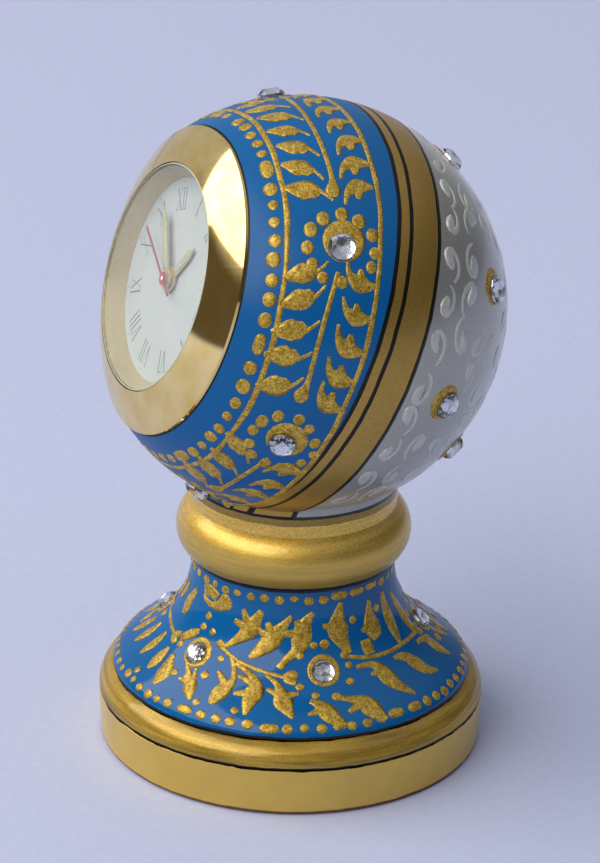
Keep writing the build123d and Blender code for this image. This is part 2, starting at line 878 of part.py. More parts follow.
# Rotor: magnet on the pinion's arbor
with BuildPart() as rotor_magnet:
    with BuildSketch(dial_plane(rotor_level)):
        with Locations(rotor_place):
            Circle(rotor_radius)
            Circle(arbor_radius + seat_clearance, mode=Mode.SUBTRACT)
    extrude(amount=rotor_height)
rotor_magnet.part.label = "rotor_magnet"
export_step(rotor_magnet.part, "parts/rotor_magnet.step")

with BuildPart() as rotor_pinion:
    with BuildSketch(dial_plane(pivot_low)):
        with Locations(rotor_place):
            Circle(arbor_radius)
    extrude(amount=pivot_high - pivot_low)
    pinion_turn = gap_facing(opposite(rotor_direction), rotor_pinion_teeth)
    with BuildSketch(dial_plane(intermediate_level)):
        with Locations(rotor_place):
            Polygon(*gear_outline(rotor_pinion_teeth, rotor_module), rotation=pinion_turn, align=None)
    extrude(amount=train_gear_thickness)
rotor_pinion.part.label = "rotor_pinion"
export_step(rotor_pinion.part, "parts/rotor_pinion.step")

# Intermediate wheel, driven by the rotor
with BuildPart() as intermediate_wheel:
    with BuildSketch(dial_plane(pivot_low)):
        with Locations(intermediate_place):
            Circle(arbor_radius)
    extrude(amount=pivot_high - pivot_low)
    wheel_turn = rotor_direction
    with BuildSketch(dial_plane(intermediate_level)):
        with Locations(intermediate_place):
            Polygon(*gear_outline(intermediate_teeth, rotor_module), rotation=wheel_turn, align=None)
    extrude(amount=train_gear_thickness)
    pinion_turn = gap_facing(opposite(intermediate_direction), intermediate_pinion_teeth)
    with BuildSketch(dial_plane(seconds_level)):
        with Locations(intermediate_place):
            pinion_outline = gear_outline(intermediate_pinion_teeth, seconds_module)
            Polygon(*pinion_outline, rotation=pinion_turn, align=None)
    extrude(amount=train_gear_thickness)
intermediate_wheel.part.label = "intermediate_wheel"
export_step(intermediate_wheel.part, "parts/intermediate_wheel.step")

# Seconds wheel, whose arbor runs out through the dial
with BuildPart() as seconds_wheel:
    with BuildSketch(dial_plane(pivot_low)):
        Circle(arbor_radius)
    extrude(amount=second_arbor_end - pivot_low)
    wheel_turn = intermediate_direction
    with BuildSketch(dial_plane(seconds_level)):
        Polygon(*gear_outline(seconds_teeth, seconds_module), rotation=wheel_turn, align=None)
    extrude(amount=train_gear_thickness)
    pinion_turn = gap_facing(third_direction, seconds_pinion_teeth)
    with BuildSketch(dial_plane(third_level)):
        Polygon(*gear_outline(seconds_pinion_teeth, third_module), rotation=pinion_turn, align=None)
    extrude(amount=train_gear_thickness)
seconds_wheel.part.label = "seconds_wheel"
export_step(seconds_wheel.part, "parts/seconds_wheel.step")

# Third wheel below the bridge, with its pinion above it
with BuildPart() as third_wheel:
    with BuildSketch(dial_plane(pivot_low)):
        with Locations(third_place):
            Circle(arbor_radius)
    extrude(amount=centre_level + train_gear_thickness - pivot_low)
    wheel_turn = opposite(third_direction)
    with BuildSketch(dial_plane(third_level)):
        with Locations(third_place):
            Polygon(*gear_outline(third_teeth, third_module), rotation=wheel_turn, align=None)
    extrude(amount=train_gear_thickness)
    pinion_turn = gap_facing(opposite(third_direction), third_pinion_teeth)
    with BuildSketch(dial_plane(centre_level)):
        with Locations(third_place):
            Polygon(*gear_outline(third_pinion_teeth, centre_module), rotation=pinion_turn, align=None)
    extrude(amount=train_gear_thickness)
third_wheel.part.label = "third_wheel"
export_step(third_wheel.part, "parts/third_wheel.step")

# Centre wheel on the minute tube, with the cannon pinion
with BuildPart() as centre_wheel:
    wheel_turn = third_direction
    with BuildSketch(dial_plane(centre_level)):
        Polygon(*gear_outline(centre_teeth, centre_module), rotation=wheel_turn, align=None)
    extrude(amount=train_gear_thickness)
    with BuildSketch(dial_plane(centre_level)):
        Circle(minute_tube_radius)
    extrude(amount=minute_tube_end - centre_level)
    pinion_turn = gap_facing(motion_direction, cannon_teeth)
    with BuildSketch(dial_plane(motion_level)):
        Polygon(*gear_outline(cannon_teeth, motion_module), rotation=pinion_turn, align=None)
    extrude(amount=motion_gear_thickness)
    with BuildSketch(dial_plane(centre_level)):
        Circle(minute_bore_radius)
    extrude(amount=minute_tube_end - centre_level, mode=Mode.SUBTRACT)
centre_wheel.part.label = "centre_wheel"
export_step(centre_wheel.part, "parts/centre_wheel.step")

# Motion wheel and pinion, on the arbor that the setting knob turns
with BuildPart() as motion_wheel:
    with BuildSketch(dial_plane(knob_rear)):
        with Locations(motion_place):
            Circle(motion_arbor_radius)
    extrude(amount=plate_back + front_plate_thickness / 2 - knob_rear)
    wheel_turn = opposite(motion_direction)
    with BuildSketch(dial_plane(motion_level)):
        with Locations(motion_place):
            Polygon(*gear_outline(motion_teeth, motion_module), rotation=wheel_turn, align=None)
    extrude(amount=motion_gear_thickness)
    pinion_turn = gap_facing(opposite(motion_direction), motion_pinion_teeth)
    with BuildSketch(dial_plane(hour_level)):
        with Locations(motion_place):
            Polygon(*gear_outline(motion_pinion_teeth, motion_module), rotation=pinion_turn, align=None)
    extrude(amount=motion_gear_thickness)
motion_wheel.part.label = "motion_wheel"
export_step(motion_wheel.part, "parts/motion_wheel.step")

with BuildPart() as setting_knob:
    with BuildSketch(dial_plane(cup_rear - level_gap)):
        with Locations(motion_place):
            Circle(knob_radius)
            Circle(motion_arbor_radius + seat_clearance, mode=Mode.SUBTRACT)
            with PolarLocations(knob_radius, knob_grips):
                Circle(knob_grip_radius, mode=Mode.SUBTRACT)
    extrude(amount=-knob_thickness)
setting_knob.part.label = "setting_knob"
export_step(setting_knob.part, "parts/setting_knob.step")

# Hour wheel on its tube
with BuildPart() as hour_wheel:
    wheel_turn = motion_direction
    with BuildSketch(dial_plane(hour_level)):
        Polygon(*gear_outline(hour_teeth, motion_module), rotation=wheel_turn, align=None)
    extrude(amount=motion_gear_thickness)
    with BuildSketch(dial_plane(hour_level)):
        Circle(hour_tube_radius)
    extrude(amount=hour_tube_end - hour_level)
    with BuildSketch(dial_plane(hour_level)):
        Circle(hour_bore_radius)
    extrude(amount=hour_tube_end - hour_level, mode=Mode.SUBTRACT)
hour_wheel.part.label = "hour_wheel"
export_step(hour_wheel.part, "parts/hour_wheel.step")

# Hands, each pressed on its arbor
with BuildPart() as hour_hand:
    blade = hand_outline(hour_hand_length, hour_hand_width, 0)
    with BuildSketch(dial_plane(hour_hand_level)):
        Circle(hour_hub_radius)
        Polygon(*blade, rotation=-hour_hand_angle, align=None)
        Circle(hour_tube_radius + seat_clearance, mode=Mode.SUBTRACT)
    extrude(amount=hand_thickness)
hour_hand.part.label = "hour_hand"
export_step(hour_hand.part, "parts/hour_hand.step")

with BuildPart() as minute_hand:
    blade = hand_outline(minute_hand_length, minute_hand_width, 0)
    with BuildSketch(dial_plane(minute_hand_level)):
        Circle(minute_hub_radius)
        Polygon(*blade, rotation=-minute_hand_angle, align=None)
        Circle(minute_tube_radius + seat_clearance, mode=Mode.SUBTRACT)
    extrude(amount=hand_thickness)
minute_hand.part.label = "minute_hand"
export_step(minute_hand.part, "parts/minute_hand.step")

with BuildPart() as second_hand:
    blade = hand_outline(second_hand_length, second_hand_width, -second_hand_tail)
    with BuildSketch(dial_plane(second_hand_level)):
        Circle(second_hub_radius)
        Polygon(*blade, rotation=-second_hand_angle, align=None)
        Circle(arbor_radius + seat_clearance, mode=Mode.SUBTRACT)
    extrude(amount=second_hand_thickness)
second_hand.part.label = "second_hand"
export_step(second_hand.part, "parts/second_hand.step")
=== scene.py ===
"""A painted wooden ball clock on a turned pedestal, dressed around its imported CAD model.

The CAD gives the turned wood, the clock insert and the seats of the stones. This script adds the raised
gold paint, the brushed strokes at the back, the cut stones, the dial's print, the finishes and the studio.
"""
import json
import random
from math import acos, atan2, cos, degrees, hypot, pi, radians, sin

import bmesh
import bpy
from mathutils import Matrix, Vector
from mathutils.bvhtree import BVHTree


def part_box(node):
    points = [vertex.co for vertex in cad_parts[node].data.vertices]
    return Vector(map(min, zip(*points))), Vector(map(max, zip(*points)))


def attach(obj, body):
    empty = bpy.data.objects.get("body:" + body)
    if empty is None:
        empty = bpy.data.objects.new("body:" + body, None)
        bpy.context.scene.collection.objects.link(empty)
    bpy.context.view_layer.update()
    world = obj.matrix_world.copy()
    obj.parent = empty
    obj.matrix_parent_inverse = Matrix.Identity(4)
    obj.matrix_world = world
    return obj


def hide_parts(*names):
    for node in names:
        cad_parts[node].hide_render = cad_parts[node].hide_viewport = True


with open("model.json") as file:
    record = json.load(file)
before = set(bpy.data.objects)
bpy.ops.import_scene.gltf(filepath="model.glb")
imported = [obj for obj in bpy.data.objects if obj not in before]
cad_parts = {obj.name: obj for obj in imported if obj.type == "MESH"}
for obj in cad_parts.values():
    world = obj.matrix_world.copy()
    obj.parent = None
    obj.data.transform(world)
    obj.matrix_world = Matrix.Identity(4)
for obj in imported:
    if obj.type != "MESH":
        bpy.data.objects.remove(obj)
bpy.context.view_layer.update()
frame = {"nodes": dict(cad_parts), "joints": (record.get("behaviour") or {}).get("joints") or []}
nodes = frame["nodes"]
joints = {joint["name"]: joint for joint in frame["joints"]}

MM = 0.001
Z_UP = Vector((0.0, 0.0, 1.0))

# Sizes read from the CAD
ball_radius = (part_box("ball")[1].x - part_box("ball")[0].x) / 2
ball_centre = Vector((0.0, 0.0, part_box("ball")[1].z - ball_radius))
dial_out = -Vector(joints["seconds_turn"]["axis"]).normalized()
dial_up = (Z_UP - Z_UP.dot(dial_out) * dial_out).normalized()
dial_side = dial_up.cross(dial_out)
dial_turn = radians(-22.5)

# Painted bands of the ball, as distances from its centre along the axis they are painted about
band_lean = radians(21.7)
band_axis = Vector((0.0, -cos(band_lean), sin(band_lean)))
line_half = 0.42 * MM
front_line, middle_line, rear_line = 3.5 * MM, 0.9 * MM, -5.5 * MM

# Painted zones of the pedestal, as heights
worn_high, band_line_height = 0.9 * MM, 9.8 * MM
foot_low, foot_high = 14.9 * MM, 38.9 * MM
# Glitter and a painted highlight grow towards the collar's top; above them the throat takes painted shade
# under the ball
glitter_and_highlight_low, glitter_and_highlight_full, throat_shade_low, collar_high = 44.0 * MM, 49.0 * MM, 52.3 * MM, 54.0 * MM

# Where the ball is painted dark: in front a thin ring of painted shadow by the bezel, below a dark joint line
# towards the collar
bezel_shadow_from = 26.82 * MM
collar_gap = 54.5 * MM
# The bore and its seat are bare: nearer the dial's axis than this, and not far behind the ball's centre
bare_reach, bare_rear = 29.1 * MM, -15 * MM

# Colours of the paints
pearl, band_bronze, bronze, deep_blue = "#A8A79D", "#B28E40", "#DAB657", "#075D9A"
# The throat's gold is the collar's gold darkened: painted shade under the ball
round_gold, collar_gold, throat_painted_shade_gold = "#AE8D36", "#CCA94E", "#8A7030"
line_black, worn_wood = "#15140F", "#7C4A2E"
beech_dark, beech_light = "#A9794B", "#C79A68"


def linear(hex_colour):
    """An sRGB hex colour as linear RGBA."""
    shares = [int(hex_colour[i:i + 2], 16) / 255 for i in (1, 3, 5)]
    return [s / 12.92 if s <= 0.04045 else ((s + 0.055) / 1.055) ** 2.4 for s in shares] + [1.0]


def add(tree, kind, inputs=None, stops=None, **settings):
    """Adds a node with its settings. An input is set to a value, or linked where it is given a socket."""
    node = tree.nodes.new(kind)
    for name, value in settings.items():
        setattr(node, name, value)
    for key, value in (inputs or {}).items():
        if isinstance(value, bpy.types.NodeSocket):
            tree.links.new(value, node.inputs[key])
        else:
            node.inputs[key].default_value = value
    if stops:
        elements = node.color_ramp.elements
        while len(elements) < len(stops):
            elements.new(1.0)
        for element, (position, colour) in zip(elements, stops):
            element.position = position
            element.color = linear(colour)
    return node


def finish(name, values):
    """A new material, its node tree, shader and places. The values are the same all over the surface."""
    material = bpy.data.materials.new(name)
    material.use_nodes = True
    tree = material.node_tree
    shader = tree.nodes["Principled BSDF"]
    for socket, value in values.items():
        shader.inputs[socket].default_value = value
    return material, tree, shader, add(tree, "ShaderNodeTexCoord").outputs["Object"]


def maths(tree, operation, *values):
    """Arithmetic on two or three values or sockets."""
    return add(tree, "ShaderNodeMath", dict(enumerate(values)), operation=operation).outputs[0]


def vectors(tree, operation, *values):
    """Arithmetic on vectors. A dot product and a length come out as one value."""
    node = add(tree, "ShaderNodeVectorMath", dict(enumerate(values)), operation=operation)
    return node.outputs[1 if operation in ("DOT_PRODUCT", "LENGTH") else 0]


def ranged(tree, value, to_min, to_max, from_min=0.0, from_max=1.0, **settings):
    """Carries a value from one range to another and keeps it within."""
    return add(tree, "ShaderNodeMapRange", {
        "Value": value, "From Min": from_min, "From Max": from_max, "To Min": to_min, "To Max": to_max},
        **settings).outputs[0]


def noise(tree, place, grain, detail):
    """Cloudy noise with a grain in mm."""
    return add(tree, "ShaderNodeTexNoise", {
        "Vector": place, "Scale": 1 / (grain * MM), "Detail": detail}).outputs[0]


def ramped(tree, level, stops, hard=False):
    """Colours along a level, with soft edges or hard ones."""
    node = add(tree, "ShaderNodeValToRGB", {"Fac": level}, stops=stops)
    node.color_ramp.interpolation = "CONSTANT" if hard else "LINEAR"
    return node.outputs[0]


def blend(tree, share, first, second, kind="MIX"):
    """Two colours mixed by a share."""
    return add(tree, "ShaderNodeMix", {0: share, 6: first, 7: second},
               data_type="RGBA", blend_type=kind).outputs[2]


def feed(tree, shader, sockets):
    """Links sockets to a shader's inputs by name."""
    for name, socket in sockets.items():
        tree.links.new(socket, shader.inputs[name])


def grained(name, dark, light, grain, depth, values, stretch=(1, 1, 1)):
    """A finish with two near colours mixed by grain of that size, and a bump of that depth, both in mm."""
    material, tree, shader, place = finish(name, values)
    laid = add(tree, "ShaderNodeMapping", {"Vector": place, "Scale": stretch}).outputs[0]
    speckle = noise(tree, laid, grain, 3.0)
    bump = add(tree, "ShaderNodeBump", {"Height": speckle, "Distance": depth * MM}).outputs[0]
    feed(tree, shader, {"Base Color": ramped(tree, speckle, [(0.3, dark), (0.7, light)]), "Normal": bump})
    return material


def flaked(tree, shader, place, colour, flake, depth, spread, share):
    """Breaks a paint's colour and normal into metal flakes: size and depth in mm, and spread of tone."""
    cells = add(tree, "ShaderNodeTexVoronoi", {"Vector": place, "Scale": 1 / (flake * MM)})
    cell = add(tree, "ShaderNodeSeparateColor", {0: cells.outputs["Color"]}).outputs[0]
    tinted = blend(tree, share, colour, ranged(tree, cell, 1 - spread, 1 + spread), "MULTIPLY")
    bump = add(tree, "ShaderNodeBump", {"Height": cell, "Distance": depth * MM, "Strength": share})
    feed(tree, shader, {"Base Color": tinted, "Normal": bump.outputs[0]})
    return bump


def drawn_levels(tree, place, distance, grain, detail, waver, low, high):
    """Hand-drawn edges: the wavering distance, its level from 0 to 1, and the level of a given distance."""
    drift = noise(tree, place, grain, detail)
    wavering = maths(tree, "MULTIPLY_ADD", drift, waver, distance)
    level = ranged(tree, wavering, 0.0, 1.0, low, high)
    return wavering, level, lambda given: (given + waver / 2 - low) / (high - low)


# Finishes of the painted wood

def lacquered_ball():
    """Enamel, bronze paint and pearl paint on turned wood under clear lacquer.

    Gives a deep even blue, soft metal bands with hand-drawn dark lines, a grey pearl back, all glossy, and a
    painted shadow in a thin ring by the bezel's rim.
    """
    material, tree, shader, place = finish("lacquered enamel and bronze paint on turned wood", {
        "Specular IOR Level": 0.0, "Sheen Roughness": 0.4})
    from_centre = vectors(tree, "SUBTRACT", place, ball_centre)
    along = vectors(tree, "DOT_PRODUCT", from_centre, band_axis)
    # The lines were drawn by hand on the lathe, so they waver by about a tenth of a millimetre
    waver = 0.4 * MM
    wavering, level, at = drawn_levels(tree, place, along, 6, 2.0, waver, -10 * MM, 10 * MM)
    edges = [at(line + side * line_half)
             for line in (rear_line, middle_line, front_line) for side in (-1, 1)]
    bands = ramped(tree, level, [
        (0.0, pearl), (edges[0], line_black), (edges[1], band_bronze), (edges[2], line_black),
        (edges[3], band_bronze), (edges[4], line_black), (edges[5], deep_blue)], hard=True)
    metal = ramped(tree, level, [
        (0.0, "#B8B8B8"), (edges[0], "#000000"), (edges[1], "#E6E6E6"), (edges[2], "#000000"),
        (edges[3], "#E6E6E6"), (edges[4], "#000000")], hard=True)
    cloud = noise(tree, place, 9, 4.0)
    shaded = blend(tree, 1.0, bands, ranged(tree, cloud, 0.9, 1.1), "MULTIPLY")
    # Painted shadow: a thin dark ring where the bezel's rim stands over the ball; below, a dark joint line
    # towards the collar
    fore = vectors(tree, "DOT_PRODUCT", from_centre, dial_out)
    bezel_shadow = maths(tree, "GREATER_THAN", fore, bezel_shadow_from)
    height = add(tree, "ShaderNodeSeparateXYZ", {0: place}).outputs[2]
    by_collar = maths(tree, "LESS_THAN", height, collar_gap)
    bezel_shadow_and_joint = maths(tree, "MAXIMUM", bezel_shadow, by_collar)
    edged = blend(tree, bezel_shadow_and_joint, shaded, linear(line_black))
    # Bare beech in the bore
    off_axis = vectors(tree, "CROSS_PRODUCT", from_centre, dial_out)
    within = maths(tree, "LESS_THAN", vectors(tree, "LENGTH", off_axis), bare_reach)
    ahead = maths(tree, "GREATER_THAN", fore, bare_rear)
    bare = maths(tree, "MULTIPLY", within, ahead)
    beech = ramped(tree, cloud, [(0.3, beech_dark), (0.7, beech_light)])
    toned = blend(tree, bare, edged, beech)
    painted = maths(tree, "SUBTRACT", 1.0, bare)
    metallic = maths(tree, "MULTIPLY", metal, painted)
    flaked(tree, shader, place, toned, flake=0.25, depth=0.01, spread=0.15, share=metallic)
    # The pearl back is smoother and glossier than the enamel, and pale where it turns away
    pearly = maths(tree, "LESS_THAN", wavering, rear_line + waver / 2)
    coat = maths(tree, "MULTIPLY", ranged(tree, pearly, 0.5, 1.0), painted)
    feed(tree, shader, {
        "Metallic": metallic, "Coat Weight": coat, "Coat Roughness": ranged(tree, pearly, 0.28, 0.15),
        "Roughness": ranged(tree, pearly, 0.4, 0.28), "Sheen Weight": ranged(tree, pearly, 0.0, 0.3)})
    return material


def lacquered_pedestal():
    """Bronze paint and blue enamel on turned wood under clear lacquer, with the bare edge it stands on.

    Gives soft metal rings with fine turning lines, glitter on two of them, dark lines in the grooves, a
    worn red-brown lower edge, a painted highlight towards the collar's top, and painted shade on the throat
    under the ball.
    """
    material, tree, shader, place = finish("lacquered bronze paint and enamel on a turned pedestal", {
        "Coat Weight": 0.6, "Coat Roughness": 0.08, "Specular IOR Level": 0.0})
    height = add(tree, "ShaderNodeSeparateXYZ", {0: place}).outputs[2]
    level, at = drawn_levels(tree, place, height, 4, 6.0, 0.5 * MM, 0.0, 60 * MM)[1:]
    worn = at(worn_high)
    band_line = (at(band_line_height - line_half), at(band_line_height + line_half))
    low_line = (at(foot_low - line_half), at(foot_low + 1.2 * line_half))
    high_line = (at(foot_high - 1.2 * line_half), at(foot_high + 2.2 * line_half))
    top_line = at(collar_high - 0.3 * MM)
    # The throat under the ball takes a darker gold: painted shade, up to the dark joint line
    bands = ramped(tree, level, [
        (0.0, worn_wood), (worn, bronze), (band_line[0], line_black), (band_line[1], round_gold),
        (low_line[0], line_black), (low_line[1], deep_blue), (high_line[0], line_black),
        (high_line[1], collar_gold), (at(throat_shade_low), throat_painted_shade_gold), (top_line, line_black)], hard=True)
    metal = ramped(tree, level, [
        (0.0, "#000000"), (worn, "#C4C4C4"), (band_line[0], "#000000"), (band_line[1], "#C4C4C4"),
        (low_line[0], "#000000"), (high_line[1], "#E6E6E6"), (top_line, "#000000")], hard=True)
    # Coarse glitter on the quarter round and towards the collar's top
    glitter = ramped(tree, level, [
        (band_line[1], "#303030"), (band_line[1] + 0.01, "#B0B0B0"), (low_line[0], "#B0B0B0"),
        (low_line[1], "#000000"), (high_line[1], "#202020"), (at(glitter_and_highlight_low), "#606060"),
        (at(glitter_and_highlight_full), "#D0D0D0")])
    # Turning lines about a millimetre apart on the quarter round, fainter on the collar
    lined = ramped(tree, level, [
        (0.0, "#202020"), (band_line[1], "#FFFFFF"), (low_line[0], "#000000"), (high_line[1], "#9A9A9A")],
        hard=True)
    turned = add(tree, "ShaderNodeMapping", {"Vector": place, "Scale": (0.05, 0.05, 1.0)}).outputs[0]
    lines = noise(tree, turned, 0.8, 3.0)
    depth = ranged(tree, lines, 0.6, 1.35, 0.3, 0.7)
    turning = add(tree, "ShaderNodeMix", {0: lined, 2: 1.0, 3: depth}).outputs[0]
    handled = ranged(tree, noise(tree, place, 7, 4.0), 0.88, 1.12)
    # Painted highlight: the collar's colour is lifted up to 1.3 times towards its top, where the highlight
    # falls
    painted_highlight = ranged(tree, level, 1.0, 1.3, at(glitter_and_highlight_low), at(glitter_and_highlight_full))
    toned = maths(tree, "MULTIPLY", maths(tree, "MULTIPLY", turning, handled), painted_highlight)
    shaded = blend(tree, 1.0, bands, toned, "MULTIPLY")
    flakes = flaked(tree, shader, place, shaded, flake=0.2, depth=0.025, spread=0.35, share=glitter)
    ridges = add(tree, "ShaderNodeBump", {"Height": lines, "Distance": 0.05 * MM, "Strength": lined})
    tree.links.new(ridges.outputs[0], flakes.inputs["Normal"])
    feed(tree, shader, {"Metallic": metal, "Roughness": ranged(tree, lines, 0.38, 0.5)})
    return material


def piped_gold():
    """Gold embossing paint, piped on in relief: ochre-gold with coarse metal flake that sparkles."""
    material, tree, shader, place = finish("piped gold embossing paint with metal flake", {
        "Metallic": 0.4, "Roughness": 0.38, "Coat Weight": 0.15, "Coat Roughness": 0.2,
        "Specular IOR Level": 0.2})
    tone = ramped(tree, noise(tree, place, 1.5, 3.0), [(0.3, "#A58128"), (0.7, "#CDAC4A")])
    flaked(tree, shader, place, tone, flake=0.28, depth=0.035, spread=0.45, share=1.0)
    return material


def clear_to_lamps(material):
    """Lets the lamps' light through a glass, which would otherwise keep what lies behind it dark."""
    tree = material.node_tree
    shader, end = tree.nodes["Principled BSDF"], tree.nodes["Material Output"]
    lamps = add(tree, "ShaderNodeLightPath").outputs["Is Shadow Ray"]
    clear = add(tree, "ShaderNodeBsdfTransparent").outputs[0]
    mixed = add(tree, "ShaderNodeMixShader", {0: lamps, 1: shader.outputs[0], 2: clear}).outputs[0]
    tree.links.new(mixed, end.inputs["Surface"])
    return material


ball_paint = lacquered_ball()
pedestal_paint = lacquered_pedestal()
relief_gold = piped_gold()
# Pearl paint brushed on thin: pale, softly metallic, glossy under the lacquer
pearl_stroke = grained("brushed pearl paint", "#BCBCB2", "#D0D0C7", 0.8, 0.004, {
    "Metallic": 0.2, "Roughness": 0.4, "Coat Weight": 0.5, "Coat Roughness": 0.1})
# Beech, turned and left bare: pale, with long grain along the dowel
bare_wood = grained("turned beech", beech_dark, beech_light, 1.2, 0.03, {"Roughness": 0.7}, (1, 1, 0.08))

# Finishes of the clock insert

# Brass, pressed, polished and gold-plated: a near mirror with a faint ripple
gold_mirror = grained("polished gold plate on pressed brass", "#EBC876", "#F9DD9A", 5.0, 0.004, {
    "Metallic": 1.0, "Roughness": 0.07})
# Flat mineral glass: clear, thin, slightly green where it is seen edge on
clock_glass = clear_to_lamps(grained("flat mineral glass", "#F4F8F5", "#FFFFFF", 8.0, 0.0, {
    "Roughness": 0.0, "IOR": 1.5, "Transmission Weight": 1.0}))
# Painted highlight: a pale, slightly green, glossy bead round the glass stands for the light its polished
# edge catches
glint_paint = grained("pale paint as a painted glint on the glass edge", "#B4B79C", "#C2C5AC", 0.6, 0.01, {"Roughness": 0.25})
# Moulded ring, metallised champagne: satin, warm grey
champagne = grained("metallised moulded plastic, champagne", "#AA9A6C", "#B8A879", 0.5, 0.004, {
    "Metallic": 0.35, "Roughness": 0.32})
# Tin dial, sprayed matt white: even, cool, with a very fine tooth
dial_white = grained("sprayed dial paint", "#9FA5A3", "#A8AEAB", 0.3, 0.003, {"Roughness": 0.55})
# Ink, pad printed: thin, dark grey and matt
dial_ink = grained("pad-printed ink", "#4C4F53", "#5E6165", 0.4, 0.002, {"Roughness": 0.6})
# Hands, stamped in brass and gilded: pale warm metal with soft lights
gilt = grained("gilded brass stamping", "#CDBD83", "#DCCD96", 0.6, 0.003, {"Metallic": 0.7, "Roughness": 0.3})
# Cream paint, filled into the hands by hand: greenish, dull, a little uneven
cream = grained("cream hand paint", "#8E997D", "#9BA68A", 0.5, 0.006, {"Roughness": 0.5})
# Second hand, stamped and sprayed: clear red with a slight gloss
red_paint = grained("sprayed red paint on a stamped hand", "#8C2A2B", "#9B3838", 0.5, 0.004, {
    "Roughness": 0.35})
# ABS, moulded black: fine spark-eroded texture with a soft sheen
black_abs = grained("moulded black ABS", "#151516", "#212123", 0.25, 0.02, {"Roughness": 0.5})
# Nitrile rubber, moulded: dull and dark
rubber = grained("moulded nitrile rubber", "#1B1B1B", "#2A2A29", 0.5, 0.03, {"Roughness": 0.8})
# Polystyrene, moulded for the plates of the movement: plain white, half glossy
white_styrene = grained("moulded white polystyrene", "#D8D6CE", "#E5E3DC", 0.4, 0.01, {"Roughness": 0.4})
# Acetal, moulded for the wheels: milky, a little waxy
acetal = grained("moulded acetal", "#E4E2DA", "#F1EFE8", 0.3, 0.006, {
    "Roughness": 0.35, "Subsurface Weight": 0.15, "Subsurface Scale": 0.4 * MM})
# Steel, stamped and nickel-plated: grey metal with blurred lights
steel = grained("nickel-plated steel", "#9A9C9E", "#B4B6B8", 0.3, 0.004, {"Metallic": 1.0, "Roughness": 0.28})
# Enamelled copper wire, wound in fine layers that show as lines across the coil
copper = grained("enamelled copper wire", "#8F4A22", "#C0713A", 0.12, 0.02, {
    "Metallic": 0.9, "Roughness": 0.32}, (0.05, 1, 1))
# Glass-epoxy board with green solder resist: glossy, with the weave just showing
solder_resist = grained("green solder resist on glass epoxy", "#1E5A37", "#2C7148", 0.45, 0.006, {
    "Roughness": 0.3})
# Spring brass, stamped and bent: yellow metal with blurred lights
spring_brass = grained("stamped spring brass", "#B08F46", "#C9A95E", 0.4, 0.004, {
    "Metallic": 1.0, "Roughness": 0.3})
# Button cell, drawn in stainless steel with a brushed face
cell_steel = grained("brushed stainless cell case", "#A9ABAD", "#C3C5C7", 0.3, 0.006, {
    "Metallic": 1.0, "Roughness": 0.26}, (0.1, 1, 1))
# Sintered ferrite magnet: dark grey and finely granular
ferrite = grained("sintered ferrite", "#3A3B3D", "#515356", 0.15, 0.01, {"Metallic": 0.4, "Roughness": 0.5})
# Cut lead-free crystal: clear and sharp-edged
cut_crystal = clear_to_lamps(grained("cut crystal glass", "#FAFBFD", "#FFFFFF", 4.0, 0.0, {
    "Roughness": 0.0, "IOR": 1.56, "Transmission Weight": 1.0}))
# Silver foil behind the stones: a mirror broken by its facets
silver_foil = grained("silver mirror foil", "#D7D9DC", "#EEF0F2", 0.6, 0.004, {
    "Metallic": 1.0, "Roughness": 0.08})


# Raised paint: strokes laid on a surface

def shape_tree(name, taken, settings, result):
    """A new geometry tree with a shape to take, settings of given kinds and a result, and its inputs."""
    tree = bpy.data.node_groups.new(name, "GeometryNodeTree")
    for socket, kind in ((taken, "Geometry"), *settings):
        tree.interface.new_socket(socket, in_out="INPUT", socket_type="NodeSocket" + kind)
    tree.interface.new_socket(result, in_out="OUTPUT", socket_type="NodeSocketGeometry")
    return tree, add(tree, "NodeGroupInput").outputs


def end_tree(tree, shape, material, result):
    """Ends a geometry tree: makes its instances real and sets the finish."""
    plain = add(tree, "GeometryNodeRealizeInstances", {"Geometry": shape}).outputs[0]
    finished = add(tree, "GeometryNodeSetMaterial", {"Geometry": plain, "Material": material}).outputs[0]
    add(tree, "NodeGroupOutput", {result: finished})


